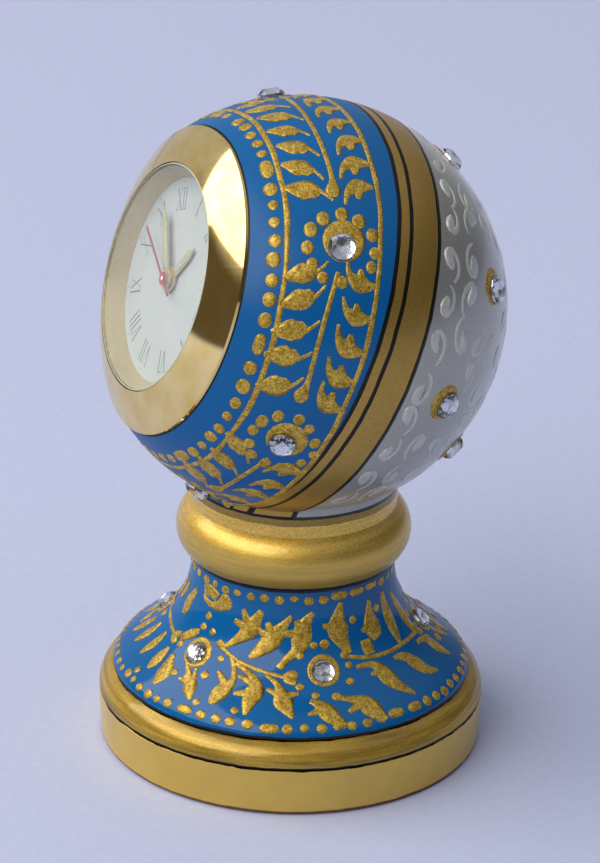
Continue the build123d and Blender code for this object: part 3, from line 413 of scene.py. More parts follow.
def raised_strokes_tree():
    """Lays curves on a surface and swells each to a low ridge, as wide as its radius says."""
    tree, given = shape_tree("raised strokes", "Strokes", (
        ("Surface", "Object"), ("Step", "Float"), ("Rise", "Float"), ("Greatest Height", "Float"),
        ("Sides", "Int"), ("Finish", "Material")), "Relief")
    surface = add(tree, "GeometryNodeObjectInfo", {"Object": given["Surface"]},
                  transform_space="RELATIVE").outputs["Geometry"]
    even = add(tree, "GeometryNodeResampleCurve", {"Curve": given["Strokes"], "Length": given["Step"]},
               mode="LENGTH").outputs[0]
    foot = add(tree, "GeometryNodeProximity", {"Target": surface}, target_element="FACES").outputs["Position"]
    laid = add(tree, "GeometryNodeSetPosition", {"Geometry": even, "Position": foot}).outputs[0]
    width = add(tree, "GeometryNodeInputRadius").outputs[0]
    kept = add(tree, "GeometryNodeStoreNamedAttribute", {"Geometry": laid, "Name": "width", "Value": width},
               data_type="FLOAT", domain="POINT").outputs[0]
    ring = add(tree, "GeometryNodeCurvePrimitiveCircle", {
        "Resolution": given["Sides"], "Radius": 1.0}).outputs[0]
    tube = add(tree, "GeometryNodeCurveToMesh", {
        "Curve": kept, "Profile Curve": ring, "Scale": width, "Fill Caps": True}).outputs[0]
    named = add(tree, "GeometryNodeInputNamedAttribute", {"Name": "width"}, data_type="FLOAT").outputs[0]
    here = add(tree, "GeometryNodeInputPosition").outputs[0]
    away = vectors(tree, "SUBTRACT", here, foot)
    limit = maths(tree, "DIVIDE", given["Greatest Height"], named)
    lower = maths(tree, "MINIMUM", limit, given["Rise"])
    low = add(tree, "ShaderNodeVectorMath", {0: away, "Scale": lower}, operation="SCALE").outputs[0]
    settled = vectors(tree, "ADD", foot, low)
    ridge = add(tree, "GeometryNodeSetPosition", {"Geometry": tube, "Position": settled}).outputs[0]
    smooth = add(tree, "GeometryNodeSetShadeSmooth", {"Geometry": ridge}).outputs[0]
    end_tree(tree, smooth, given["Finish"], "Relief")
    return tree


def set_stones_tree():
    """Sets a cut shape on every point, standing along the point's normal."""
    tree, given = shape_tree("set stones", "Seats", (
        ("Cut", "Object"), ("Size", "Float"), ("Finish", "Material")), "Stones")
    cut = add(tree, "GeometryNodeObjectInfo", {"Object": given["Cut"]}).outputs["Geometry"]
    facing = add(tree, "GeometryNodeInputNamedAttribute", {"Name": "facing"},
                 data_type="FLOAT_VECTOR").outputs[0]
    stood = add(tree, "FunctionNodeAlignRotationToVector", {"Vector": facing}, axis="Z").outputs[0]
    stones = add(tree, "GeometryNodeInstanceOnPoints", {
        "Points": given["Seats"], "Instance": cut, "Rotation": stood, "Scale": given["Size"]}).outputs[0]
    end_tree(tree, stones, given["Finish"], "Stones")
    return tree


strokes_tree = raised_strokes_tree()
stones_tree = set_stones_tree()


def placed(name, data):
    """A new object of the scene."""
    thing = bpy.data.objects.new(name, data)
    bpy.context.scene.collection.objects.link(thing)
    return thing


def baked(name, source, tree, inputs):
    """Runs a geometry tree on a source object and keeps the result as a plain mesh object."""
    modifier = source.modifiers.new("shape", "NODES")
    modifier.node_group = tree
    sockets = {item.name: item.identifier for item in tree.interface.items_tree if item.in_out == "INPUT"}
    for key, value in inputs.items():
        modifier[sockets[key]] = value
    depsgraph = bpy.context.evaluated_depsgraph_get()
    mesh = bpy.data.meshes.new_from_object(source.evaluated_get(depsgraph), depsgraph=depsgraph)
    source.modifiers.remove(modifier)
    bpy.data.objects.remove(source)
    mesh.name = name
    return placed(name, mesh)


def ridden(piece, body):
    """The piece rides on a body."""
    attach(piece, body)
    return piece


def raised(name, strokes, surface, material, rise, greatest, step=0.35, sides=8):
    """One mesh of raised strokes. A stroke is a list of (point, radius), closed where its ends meet."""
    curve = bpy.data.curves.new(name, "CURVE")
    curve.dimensions = "3D"
    curve.resolution_u = 6
    for stroke in strokes:
        closed = stroke[0][0] == stroke[-1][0]
        points = stroke[:-1] if closed else stroke
        spline = curve.splines.new("NURBS")
        spline.points.add(len(points) - 1)
        for point, (place, radius) in zip(spline.points, points):
            point.co = (*place, 1.0)
            point.radius = radius
        spline.order_u = 3
        spline.use_cyclic_u = closed
        spline.use_endpoint_u = not closed
    return baked(name, placed(name + " strokes", curve), strokes_tree, {
        "Surface": nodes[surface], "Step": step * MM, "Rise": rise, "Greatest Height": greatest * MM,
        "Sides": sides, "Finish": material})


# Places on the ball and the foot. A place gives a point for steps in mm to its right and up.

def polar_point(polar, clock):
    """A point of the ball: degrees from the dial's axis, and degrees clockwise from its top."""
    p, c = radians(polar), radians(clock)
    across = dial_up * cos(c) + dial_side * sin(c)
    return ball_centre + ball_radius * (dial_out * cos(p) + across * sin(p))


def ball_place(polar, clock):
    """Steps go along the ring, clockwise, and away from the dial."""
    round_step = degrees(MM / (ball_radius * sin(radians(polar))))
    out_step = degrees(MM / ball_radius)
    return lambda along, outward: polar_point(polar + outward * out_step, clock + along * round_step)


def solid_of(node):
    """A node's surface, ready for rays and nearest points."""
    mesh = nodes[node].data
    return BVHTree.FromPolygons([v.co for v in mesh.vertices], [p.vertices for p in mesh.polygons])


def foot_profile():
    """The foot's outline from its low edge upwards: (climb along the surface, radius, height)."""
    solid = solid_of("pedestal")
    outline, climb = [], 0.0
    count, inset, outside = 60, 0.05 * MM, 100 * MM
    for i in range(count + 1):
        height = foot_low + (foot_high - foot_low) * i / count + inset * (1 - 2 * i / count)
        hit = solid.ray_cast(Vector((outside, 0.0, height)), Vector((-1.0, 0.0, 0.0)))[0]
        if outline:
            climb += hypot(hit.x - outline[-1][1], height - outline[-1][2])
        outline.append((climb, hit.x, height))
    return outline


foot_outline = foot_profile()


def foot_point(azimuth, climb):
    """A point of the foot: degrees round the axis, and mm of climb along its outline."""
    climb = min(max(climb * MM, 0.0), foot_outline[-1][0])
    for (low, r0, z0), (high, r1, z1) in zip(foot_outline, foot_outline[1:]):
        if climb <= high:
            break
    share = (climb - low) / (high - low)
    radius, height = r0 + share * (r1 - r0), z0 + share * (z1 - z0)
    angle = radians(azimuth)
    return Vector((radius * cos(angle), radius * sin(angle), height))


def climb_of(point):
    """How far up the foot's outline a point near it lies, in mm."""
    radius = Vector(point[:2]).length
    nearest = min(foot_outline, key=lambda spot: hypot(radius - spot[1], point.z - spot[2]))
    return nearest[0] / MM


def foot_place(azimuth, climb):
    """Steps go round to the right and up the foot."""
    radius = Vector(foot_point(azimuth, climb)[:2]).length
    round_step = degrees(MM / radius)
    return lambda along, up: foot_point(azimuth + along * round_step, climb + up)


# Strokes of the painter's hand, in mm: (right, up, radius). Leaves are filled in heavier than they are drawn.

leaf_weight, foot_leaf_size = 1.2, 1.18

long_leaf = (
    ((-1.3, -3.3, 0.35), (-0.9, -2.0, 0.95), (-0.2, -0.3, 1.75), (0.5, 1.4, 1.6), (1.6, 2.0, 0.55)),
    ((0.2, 2.2, 0.35), (1.2, 3.3, 0.3), (2.6, 4.4, 0.24)),
    ((0.0, -0.8, 0.85), (1.2, -0.9, 0.45)))
hooked_leaf = (
    ((-0.6, -3.2, 0.35), (-0.9, -1.8, 0.95), (-0.6, -0.2, 1.65), (0.1, 1.2, 0.9),
     (1.4, 2.2, 0.34), (3.2, 2.4, 0.26)),
    ((-0.2, -0.4, 0.95), (1.0, -0.3, 0.8), (2.0, -0.1, 0.28)))
brush_comma = (
    ((0.3, 3.0, 0.5), (1.0, 2.4, 1.05), (0.9, 1.0, 1.1), (0.2, -0.6, 0.9), (0.0, -1.4, 0.3)),
    ((0.6, 3.2, 0.5), (-0.8, 2.6, 0.5), (-1.9, 0.8, 0.38), (-2.1, -1.6, 0.34),
     (-1.3, -3.4, 0.28), (-0.5, -4.0, 0.2)))

# Leaves of the foot between two stones: share of the way to the next stone, climb in mm, strokes
near_leaves = (
    (0.13, 25.8, (((0.6, 0.6, 0.6), (0.3, 0.2, 1.5), (-0.8, -0.9, 1.2), (-2.5, -2.0, 0.55),
                   (-4.6, -1.9, 0.45), (-5.8, -1.2, 0.35)),)),
    (0.40, 21.4, (((-3.6, -3.8, 0.35), (-1.2, -1.5, 0.8), (0.0, 0.2, 1.8), (0.9, 1.9, 0.9), (1.7, 3.6, 0.45)),
                  ((-0.4, 0.6, 0.9), (-1.3, 2.2, 0.6), (-1.7, 3.3, 0.4)),
                  ((-0.5, 0.2, 0.9), (-2.2, 0.7, 0.6), (-3.1, 1.0, 0.4)))),
    (0.60, 20.2, (((3.0, 4.3, 0.35), (1.7, 2.5, 0.7), (0.2, 0.3, 1.8), (-1.1, -1.6, 1.2), (-2.9, -3.7, 0.45)),
                  ((0.0, 0.0, 1.0), (-1.5, 0.7, 0.7), (-2.7, 1.4, 0.3)),
                  ((0.0, 0.8, 0.9), (-0.9, 2.3, 0.6), (-1.2, 2.7, 0.4)))),
    (0.84, 20.4, (((2.5, 4.2, 0.35), (1.0, 2.9, 0.9), (0.3, 0.6, 1.8), (-0.5, -1.9, 1.0), (-2.3, -2.9, 0.45),
                   (-3.3, -4.6, 0.6)),
                  ((0.0, 0.8, 0.9), (-1.5, 1.2, 0.6), (-3.3, 0.9, 0.4)),
                  ((0.2, 1.5, 1.0), (-0.1, 2.4, 0.7), (-0.4, 3.2, 0.5)))),
    (0.11, 7.5, (((-3.7, 3.6, 0.3), (-1.8, 1.8, 0.5), (0.0, 0.0, 1.5), (0.6, -1.2, 1.1), (1.4, -2.6, 0.3)),
                 ((-0.2, 0.4, 0.8), (-1.6, 0.6, 0.5), (-3.0, 0.5, 0.3)),
                 ((0.0, 0.4, 0.8), (-0.4, 1.8, 0.5), (-0.9, 3.3, 0.3)))),
    (0.31, 8.5, (((0.0, 6.0, 0.4), (1.6, 3.6, 0.45), (1.7, 1.4, 0.7), (0.0, -0.6, 1.9), (-0.4, -2.9, 0.5)),
                 ((0.6, 1.2, 0.8), (-0.8, 2.4, 0.5), (-1.7, 3.2, 0.35)))),
    (0.50, 9.0, (((-3.8, 5.0, 0.35), (-1.5, 4.2, 0.4), (0.9, 2.4, 0.7), (1.0, 0.4, 1.8),
                  (0.3, -1.5, 1.3), (0.1, -4.1, 0.35)),
                 ((0.6, 1.8, 0.7), (-1.2, 2.5, 0.45), (-2.6, 3.0, 0.3)),
                 ((0.6, 0.2, 0.9), (-1.2, -0.1, 0.6), (-2.5, -0.3, 0.35)))),
    (0.72, 8.0, (((-3.4, 4.8, 0.3), (-1.5, 3.8, 0.4), (-0.4, 2.0, 0.8), (0.0, 0.0, 1.9),
                  (0.8, -1.8, 1.0), (1.6, -3.3, 0.35)),
                 ((-0.3, 1.0, 0.8), (-1.8, 1.9, 0.5), (-3.0, 2.2, 0.3)),
                 ((0.2, 0.8, 0.8), (1.6, 1.3, 0.5), (2.8, 1.4, 0.3)))),
    (0.97, 5.9, (((-2.3, 1.9, 0.4), (-0.6, 1.0, 0.9), (0.3, -0.6, 1.7), (1.5, -2.2, 1.0), (2.7, -3.3, 0.5)),
                 ((0.0, 0.4, 0.9), (-1.6, -0.3, 0.5), (-2.9, -0.6, 0.3)))))
far_leaves = (
    (0.145, 22.5, (((1.0, 3.8, 0.4), (0.3, 1.9, 0.8), (-0.2, -0.6, 2.0), (0.2, -2.8, 1.1), (1.0, -5.0, 0.5)),
                   ((-0.2, -0.4, 0.9), (-1.8, 0.0, 0.6), (-2.8, 0.4, 0.3)))),
    (0.417, 21.3, (((0.3, 3.8, 0.4), (0.0, 1.6, 0.7), (0.0, -0.8, 2.0), (0.6, -2.8, 1.0)),
                   ((0.0, -0.5, 0.9), (-1.6, -0.8, 0.5), (-2.4, -1.0, 0.3)))),
    (0.59, 20.0, (((0.0, 5.0, 0.4), (0.3, 2.2, 0.9), (0.6, -0.5, 1.4), (0.2, -4.5, 0.35)),)),
    (0.78, 18.6, (((-1.5, 5.0, 0.35), (0.2, 2.0, 0.9), (0.8, -1.0, 1.3), (0.6, -4.0, 0.35)),)),
    (0.33, 17.0, (((0.0, 1.3, 0.9), (0.0, 0.0, 1.1), (0.0, -1.2, 0.9)),)),
    (0.18, 5.6, (((-4.5, 2.3, 0.35), (-2.0, 1.6, 0.45), (-0.3, 0.8, 1.2), (0.4, -0.8, 1.8), (1.8, -3.2, 0.5)),
                 ((-0.3, 0.5, 0.8), (-2.0, 0.3, 0.5), (-3.4, -0.5, 0.3)))),
    (0.356, 10.3, (((-4.7, 2.5, 0.35), (-2.5, 2.9, 0.35), (-0.3, 1.9, 0.8), (0.1, 0.0, 1.6), (1.2, -2.3, 0.9),
                    (2.9, -4.4, 0.25)),
                   ((-0.3, 0.7, 0.7), (-1.4, 1.0, 0.45), (-2.5, 1.0, 0.25)))),
    (0.6, 9.5, (((-4.0, 3.0, 0.35), (-1.5, 2.8, 0.7), (0.0, 0.0, 1.5), (0.8, -1.9, 0.95),
                 (2.5, -3.0, 0.25)),)),
    (0.855, 9.5, (((-4.0, 2.5, 0.3), (-0.6, 2.2, 0.6), (0.0, 0.0, 1.35), (0.1, -1.7, 0.9),
                   (0.9, -3.3, 0.25)),)),
    (1.02, 8.9, (((-0.8, 2.0, 0.35), (0.0, 0.0, 0.95), (1.4, -2.2, 0.3)),)))
side_leaves = (
    (0.56, 21.4, (((2.3, 2.9, 0.35), (0.4, 0.6, 0.9), (0.0, -1.2, 1.3), (0.0, -2.5, 0.4)),)),
    (0.39, 22.0, (((1.4, 2.2, 0.35), (0.0, 0.0, 0.9), (-1.4, -2.0, 0.4)),)),
    (0.22, 21.6, (((1.8, 2.6, 0.35), (0.3, 0.4, 1.0), (-0.4, -2.2, 0.4)),)),
    (0.91, 26.4, (((-1.8, -0.5, 0.7), (0.0, 0.4, 1.1), (1.9, -0.6, 0.7)),)),
    (0.82, 16.4, (((1.9, 1.5, 0.4), (0.0, 0.0, 1.05), (-1.5, -1.5, 0.6)),)),
    (0.17, 8.8, (((0.4, 2.6, 0.35), (0.0, 0.5, 1.0), (-0.2, -1.2, 1.1), (-0.2, -2.7, 0.3)),)),
    (0.34, 9.7, (((0.2, 3.0, 0.3), (0.1, 1.0, 0.9), (0.0, -1.0, 1.1), (-0.2, -2.9, 0.3)),)),
    (0.53, 10.0, (((0.0, 3.0, 0.3), (0.1, 1.0, 0.85), (0.0, -1.0, 1.0), (0.0, -2.9, 0.3)),)),
    (0.71, 9.0, (((0.2, 2.6, 0.35), (0.0, 0.5, 1.0), (0.1, -1.2, 1.1), (0.0, -2.7, 0.3)),)),
    (0.84, 7.6, (((-1.3, 3.2, 0.4), (0.2, 1.3, 1.2), (0.9, -0.9, 1.5), (0.9, -3.1, 0.3)),)))


def drawn(place, strokes, size=1.0, turn=0.0, flip=1.0, mirror=1.0, weight=1.0):
    """Strokes sized, mirrored, turned and made heavier, then laid at a place."""
    c, s = cos(radians(turn)), sin(radians(turn))
    laid = []
    for stroke in strokes:
        laid.append([])
        for right, up, radius in stroke:
            x, y = right * size * flip, up * size * mirror
            laid[-1].append((place(c * x - s * y, s * x + c * y), radius * size * weight * MM))
    return laid


def dot(radius, length=0.0):
    """A drop of paint, round or drawn out along its own right."""
    reach = radius * 0.95 + length / 2
    return [((-reach, 0, 0.25 * radius), (-reach * 0.9, 0, 0.8 * radius), (-length / 2, 0, 1.1 * radius),
             (length / 2, 0, 1.1 * radius), (reach * 0.9, 0, 0.8 * radius), (reach, 0, 0.25 * radius))]


def crescent(inner, thick, thin, turn):
    """A ring of paint round a stone, thickest towards the turn."""
    # A quarter of the stroke's half width goes under the stone
    count, clear_share, taper = 14, 0.75, 1.5
    stroke = []
    for i in range(count + 1):
        angle = 2 * pi * (i % count) / count
        swell = thin + (thick - thin) * (0.5 + 0.5 * cos(angle - radians(turn))) ** taper
        reach = inner + swell * clear_share
        stroke.append((reach * cos(angle), reach * sin(angle), swell))
    return [stroke]


def stone_seats(node):
    """The middle of each stone of a CAD node."""
    seats, widest = [], 6 * MM
    for vertex in nodes[node].data.vertices:
        for seat in seats:
            if (vertex.co - seat[0]).length < widest:
                seat.append(vertex.co.copy())
                break
        else:
            seats.append([vertex.co.copy()])
    return [sum(seat, Vector()) / len(seat) for seat in seats]


def polar_of(point):
    """Degrees from the dial's axis and degrees clockwise from its top, for a point near the ball."""
    away = (point - ball_centre).normalized()
    return (degrees(acos(away.dot(dial_out))),
            degrees(atan2(away.dot(dial_side), away.dot(dial_up))) % 360)


ball_seats = stone_seats("ball_crystals")
foot_seats = stone_seats("foot_crystals")
ball_stone_radius, foot_stone_radius = 2.65, 2.35
ring_polar_limit = 90
front_seats = sorted((polar_of(seat) for seat in ball_seats if polar_of(seat)[0] < ring_polar_limit),
                     key=lambda spot: spot[1])
rear_seats = [polar_of(seat) for seat in ball_seats if polar_of(seat)[0] >= ring_polar_limit]


def with_next(angles):
    """Pairs each angle with the one after it, and the last with the first a full turn on."""
    return zip(angles, angles[1:] + [angles[0] + 360])


def ball_relief():
    """The front of the ball: two lines, between them a vine and leaves, dots, and rings round the stones."""
    hand = random.Random(11)
    strokes = []
    # Two drawn lines, wavering a little. The inner one leans a degree and a half against the dial.
    inner_towards = 160
    for middle, lean, towards, half in ((57.9, 1.6, inner_towards, 0.54), (81.3, 0.9, 70, 0.5)):
        ring = []
        for clock in range(0, 360, 6):
            polar = middle + lean * cos(radians(clock - towards)) + hand.uniform(-0.22, 0.22)
            ring.append((polar_point(polar, clock), half * hand.uniform(0.85, 1.2) * MM))
        strokes.append(ring + ring[:1])
    # Inner row of dots, some drawn out long
    long_drops = (29, 90, 150, 214, 280, 340)
    dot_row, dot_lean, dot_gap = 54.6, 1.2, 5.6
    clock, last_dot = 0.8, 357
    while clock < last_dot:
        long_drop = any(abs(clock - spot) < 3 for spot in long_drops)
        radius = hand.uniform(0.95, 1.35)
        length = 2.0 if long_drop else hand.uniform(0, 0.4)
        polar = dot_row + dot_lean * cos(radians(clock - inner_towards)) + hand.uniform(-0.25, 0.25)
        strokes += drawn(ball_place(polar, clock + length * 0.8), dot(radius, length))
        clock += dot_gap + length * 1.8 + hand.uniform(-0.4, 0.7)
    # Between two stones: a vine that ends in a bud, with leaves from both lines that sweep to one stone
    vine_row, bud_row, vine_steps, vine_half, leaf_gap = 71.2, 70.0, 6, 0.47, 8.4
    after_stone, before_stone, before_bud, vine_bow = 7, 17, 3.5, 1.1
    for i, (clock, following) in enumerate(with_next([spot[1] for spot in front_seats])):
        first, last = clock + after_stone, following - before_stone
        heading = 1 if i % 2 else -1
        vine = []
        for step in range(vine_steps + 1):
            share = step / vine_steps
            polar = vine_row - 0.9 * share - vine_bow * sin(pi * share)
            vine.append((polar_point(polar, first + share * (last - before_bud - first)), vine_half * MM))
        for turn, radius in ((-1.2, 1.2), (0.6, 1.7), (2.2, 0.6)):
            vine.append((polar_point(bud_row, last + turn), radius * MM))
        strokes.append(vine)
        count = round((last - first) / leaf_gap)
        for leaf_strokes, row, mirror in ((long_leaf, 62.3, 1), (hooked_leaf, 76.8, -1)):
            for leaf in range(count + 1):
                spot = first + 1.5 + (last - first - 2) * leaf / count
                place = ball_place(row + hand.uniform(-0.5, 0.5), spot + hand.uniform(-0.8, 0.8))
                strokes += drawn(place, leaf_strokes, hand.uniform(0.94, 1.08), hand.uniform(-8, 8),
                                 heading, mirror, leaf_weight)
    # Stones: a crescent and a ring of dots
    dots, dot_reach = 12, 6.3
    for polar, clock in front_seats:
        ring = crescent(ball_stone_radius, thick=1.6, thin=0.08, turn=165)
        strokes += drawn(ball_place(polar, clock), ring)
        for i in range(dots):
            turn = radians(360 / dots * i + hand.uniform(-5, 5))
            reach = dot_reach + hand.uniform(-0.3, 0.3)
            spot = ball_place(polar + 1.4 * reach * sin(turn), clock)(reach * cos(turn), 0)
            strokes += drawn(ball_place(*polar_of(spot)), dot(hand.uniform(0.95, 1.25), hand.uniform(0, 0.7)))
    piece = raised("ball_relief", strokes, "ball", relief_gold, rise=0.25, greatest=0.13)
    ridden(piece, "stand")


def rear_strokes():
    """The back of the ball: rows of brushed commas along the bands, and a crescent beside every stone."""
    hand = random.Random(23)
    sideways = Vector((1.0, 0.0, 0.0))
    band_up = sideways.cross(band_axis) * -1
    stones = [seat for seat in ball_seats if polar_of(seat)[0] >= ring_polar_limit]
    rows, first_row, row_step, pitch = 9, 103.0, 8.4, 7.6
    clear_of_stones, lowest = 5.6 * MM, 60 * MM
    out_step = degrees(MM / ball_radius)

    def band_point(polar, turn):
        p, t = radians(polar), radians(turn)
        across = band_up * cos(t) + sideways * sin(t)
        return ball_centre + ball_radius * (band_axis * cos(p) + across * sin(p))

    commas = []
    for row in range(rows):
        polar = first_row + row_step * row
        ring = ball_radius / MM * sin(radians(polar)) * 2 * pi
        round_step = 360 / ring
        count = max(3, round(ring / pitch))
        for i in range(count):
            turn = 360 * (i + 0.5 * (row % 2)) / count + hand.uniform(-2, 2)
            middle = band_point(polar, turn)
            if min((middle - stone).length for stone in stones) < clear_of_stones or middle.z < lowest:
                continue

            def place(right, up, polar=polar, turn=turn, round_step=round_step):
                return band_point(polar + right * out_step, turn - up * round_step)

            commas += drawn(place, brush_comma, hand.uniform(0.8, 0.95), hand.uniform(-14, 14),
                            1 if row % 2 else -1, 1 if i % 2 else -1, weight=1.45)
    piece = raised("rear_brush_strokes", commas, "ball", pearl_stroke, rise=0.05, greatest=0.04,
                   step=0.5, sides=6)
    ridden(piece, "stand")
    rings = []
    for polar, clock in rear_seats:
        ring = crescent(ball_stone_radius, thick=1.2, thin=0.05, turn=hand.uniform(225, 255))
        rings += drawn(ball_place(polar, clock), ring)
    piece = raised("rear_stone_crescents", rings, "ball", relief_gold, rise=0.25, greatest=0.18)
    ridden(piece, "stand")


def foot_relief():
    """The foot: rows of dots above and below, and between the stones a vine with leaves on both sides."""
    hand = random.Random(37)
    strokes = []
    for climb, gap, radius, long_spots in (
            (28.2, 8.0, 0.82, (-2, 13, 27, 95, 170)), (2.3, 4.8, 0.9, (-63, -34, 10, 17, 80, 150))):
        azimuth, last_dot = -180.0, 176
        while azimuth < last_dot:
            long_drop = any(abs(azimuth - spot) < gap / 2 for spot in long_spots)
            length = 1.9 if long_drop else hand.uniform(0, 0.4)
            place = foot_place(azimuth + length, climb + hand.uniform(-0.3, 0.3))
            strokes += drawn(place, dot(radius * hand.uniform(0.85, 1.2), length))
            azimuth += gap + length * 1.6 + hand.uniform(-0.5, 0.5)
    seats = sorted(degrees(atan2(seat.y, seat.x)) for seat in foot_seats)
    stone_climb = climb_of(foot_seats[0])
    stone_ring, widest_span, vine_half = 24.5 * MM, 62, 0.43 * MM
    dots, dot_reach = 10, 5.4
    bud = (((-0.5, 0.0, 0.6), (0.6, 0.6, 1.2), (1.7, 1.1, 0.6)),
           ((-0.5, 0.0, 0.6), (0.6, -0.6, 1.2), (1.7, -1.0, 0.6)))
    # Three ways of filling the space between two stones, in turn: how heavy, leaves, the vine, spare dots
    fillings = (
        (1.2, far_leaves, ((0.13, 16.5), (0.26, 15.3), (0.39, 14.5), (0.62, 14.2), (0.83, 14.0)),
         ((0.267, 22.9), (0.5, 23.5))),
        (1.35, side_leaves, ((0.13, 16.5), (0.26, 15.9), (0.39, 15.5), (0.52, 15.0), (0.66, 14.3)),
         ((0.95, 21.5), (0.66, 4.4))),
        (1.12, near_leaves, ((0.17, 17.0), (0.29, 15.6), (0.42, 14.6), (0.6, 13.6), (0.74, 12.9)),
         ((0.21, 4.7), (0.45, 4.9))))
    for i, (azimuth, following) in enumerate(with_next(seats)):
        span = following - azimuth
        weight, leaves, path, spare = fillings[i % len(fillings)]
        strokes.append([(foot_point(azimuth + share * span, climb), vine_half) for share, climb in path])
        strokes += drawn(foot_place(azimuth + path[-1][0] * span, path[-1][1]), bud)
        size = foot_leaf_size * min(1.0, span / widest_span)
        for share, climb, leaf in leaves:
            strokes += drawn(foot_place(azimuth + share * span, climb), leaf, size * hand.uniform(0.97, 1.05),
                             hand.uniform(-4, 4), weight=weight)
        for share, climb in spare:
            strokes += drawn(foot_place(azimuth + share * span, climb), dot(0.85))
        ring = crescent(foot_stone_radius, thick=0.75, thin=0.45, turn=45)
        strokes += drawn(foot_place(azimuth, stone_climb), ring)
        for k in range(dots):
            turn = radians(360 / dots * k + hand.uniform(-7, 7))
            reach = dot_reach + hand.uniform(-0.3, 0.3)
            spot = foot_place(azimuth + degrees(reach * cos(turn) * MM / stone_ring),
                              stone_climb + reach * sin(turn))
            strokes += drawn(spot, dot(hand.uniform(0.7, 0.95), hand.uniform(0, 0.4)))
    piece = raised("foot_relief", strokes, "pedestal", relief_gold, rise=0.25, greatest=0.15)
    ridden(piece, "stand")


# Stones

stone_sides = 10


def facet_rings(shape, levels):
    """Rings of corners of a stone of radius 1, each given by its radius, height and shift in sides."""
    rings = []
    for radius, height, shift in levels:
        angles = [2 * pi * (i + shift) / stone_sides for i in range(stone_sides)]
        rings.append([shape.verts.new((radius * cos(a), radius * sin(a), height)) for a in angles])
    return rings


def cut_stone():
    """A brilliant of radius 1 on its seat: table, star and kite facets, girdle and a flat back."""
    shape = bmesh.new()
    back, girdle, crown, table = facet_rings(
        shape, ((0.98, 0.0, 0.0), (1.0, 0.16, 0.0), (0.8, 0.42, 0.5), (0.56, 0.6, 0.0)))
    shape.faces.new(back[::-1])
    shape.faces.new(table)
    for i in range(stone_sides):
        j = (i + 1) % stone_sides
        for corners in ((back[i], back[j], girdle[j], girdle[i]), (girdle[i], girdle[j], crown[i]),
                        (girdle[j], crown[j], crown[i]), (crown[i], crown[j], table[j]),
                        (crown[i], table[j], table[i])):
            shape.faces.new(corners)
    return shape


def stone_foil():
    """The foil behind a stone of radius 1: a shallow cup of mirror facets."""
    shape = bmesh.new()
    middle = shape.verts.new((0.0, 0.0, 0.03))
    inner, rim, back = facet_rings(shape, ((0.5, 0.1, 0.5), (0.93, 0.16, 0.0), (0.93, 0.02, 0.0)))
    for i in range(stone_sides):
        j = (i + 1) % stone_sides
        for corners in ((middle, inner[i], inner[j]), (inner[i], rim[j], inner[j]),
                        (inner[i], rim[i], rim[j]), (rim[i], back[i], back[j], rim[j])):
            shape.faces.new(corners)
    shape.faces.new(back[::-1])
    return shape


def set_stones(name, shape, seats, radius, surface, material):
    """Stones of one cut, each on its seat and square to the surface under it."""
    solid = solid_of(surface)
    cut_mesh = bpy.data.meshes.new(name + " cut")
    shape.to_mesh(cut_mesh)
    shape.free()
    cut = placed(name + " cut", cut_mesh)
    points = bpy.data.meshes.new(name + " seats")
    grounds = [solid.find_nearest(seat)[:2] for seat in seats]
    points.from_pydata([ground for ground, normal in grounds], [], [])
    facing = points.attributes.new("facing", "FLOAT_VECTOR", "POINT")
    for item, (ground, normal) in zip(facing.data, grounds):
        item.vector = normal
    source = placed(name + " seats", points)
    piece = baked(name, source, stones_tree, {"Cut": cut, "Size": radius * MM, "Finish": material})
    bpy.data.objects.remove(cut)
    return ridden(piece, "stand")


# Dial print and hands

def dial_point(front, reach, turn):
    """A point at a distance from the dial's middle, degrees clockwise from its twelve, in a plane."""
    angle = radians(turn) + dial_turn
    across = dial_up * cos(angle) + dial_side * sin(angle)
    return ball_centre + dial_out * front + across * reach * MM


def dial_place(front, reach, turn):
    """Steps in mm go to the right and outwards, for one who stands on the dial's middle."""
    angle = radians(turn) + dial_turn
    rightward = dial_side * cos(angle) - dial_up * sin(angle)
    return lambda right, up: dial_point(front, reach + up, turn) + rightward * right * MM


def front_of(node):
    """How far a node reaches along the dial's axis."""
    return max((v.co - ball_centre).dot(dial_out) for v in nodes[node].data.vertices)


# Letters on a field of 1, each stroke as two ends: (right, up, weight)
high_serifs = ((-0.4, 0.5, 0.5), (-0.14, 0.5, 0.5)), ((0.16, 0.5, 0.5), (0.38, 0.5, 0.5))
low_serifs = ((-0.4, -0.5, 0.5), (-0.14, -0.5, 0.5)), ((0.16, -0.5, 0.5), (0.38, -0.5, 0.5))
letters = {
    "I": (((0, 0.5, 1.0), (0, -0.5, 1.0)), ((-0.13, 0.5, 0.5), (0.13, 0.5, 0.5)),
          ((-0.13, -0.5, 0.5), (0.13, -0.5, 0.5))),
    "V": (((-0.27, 0.5, 1.0), (0, -0.5, 1.0)), ((0.27, 0.5, 0.5), (0, -0.5, 0.5)), *high_serifs),
    "X": (((-0.27, 0.5, 1.0), (0.27, -0.5, 1.0)), ((0.27, 0.5, 0.5), (-0.27, -0.5, 0.5)),
          *high_serifs, *low_serifs)}
letter_widths = {"I": 0.34, "V": 0.72, "X": 0.76}
hours = ("XII", "I", "II", "III", "IIII", "V", "VI", "VII", "VIII", "IX", "X", "XI")


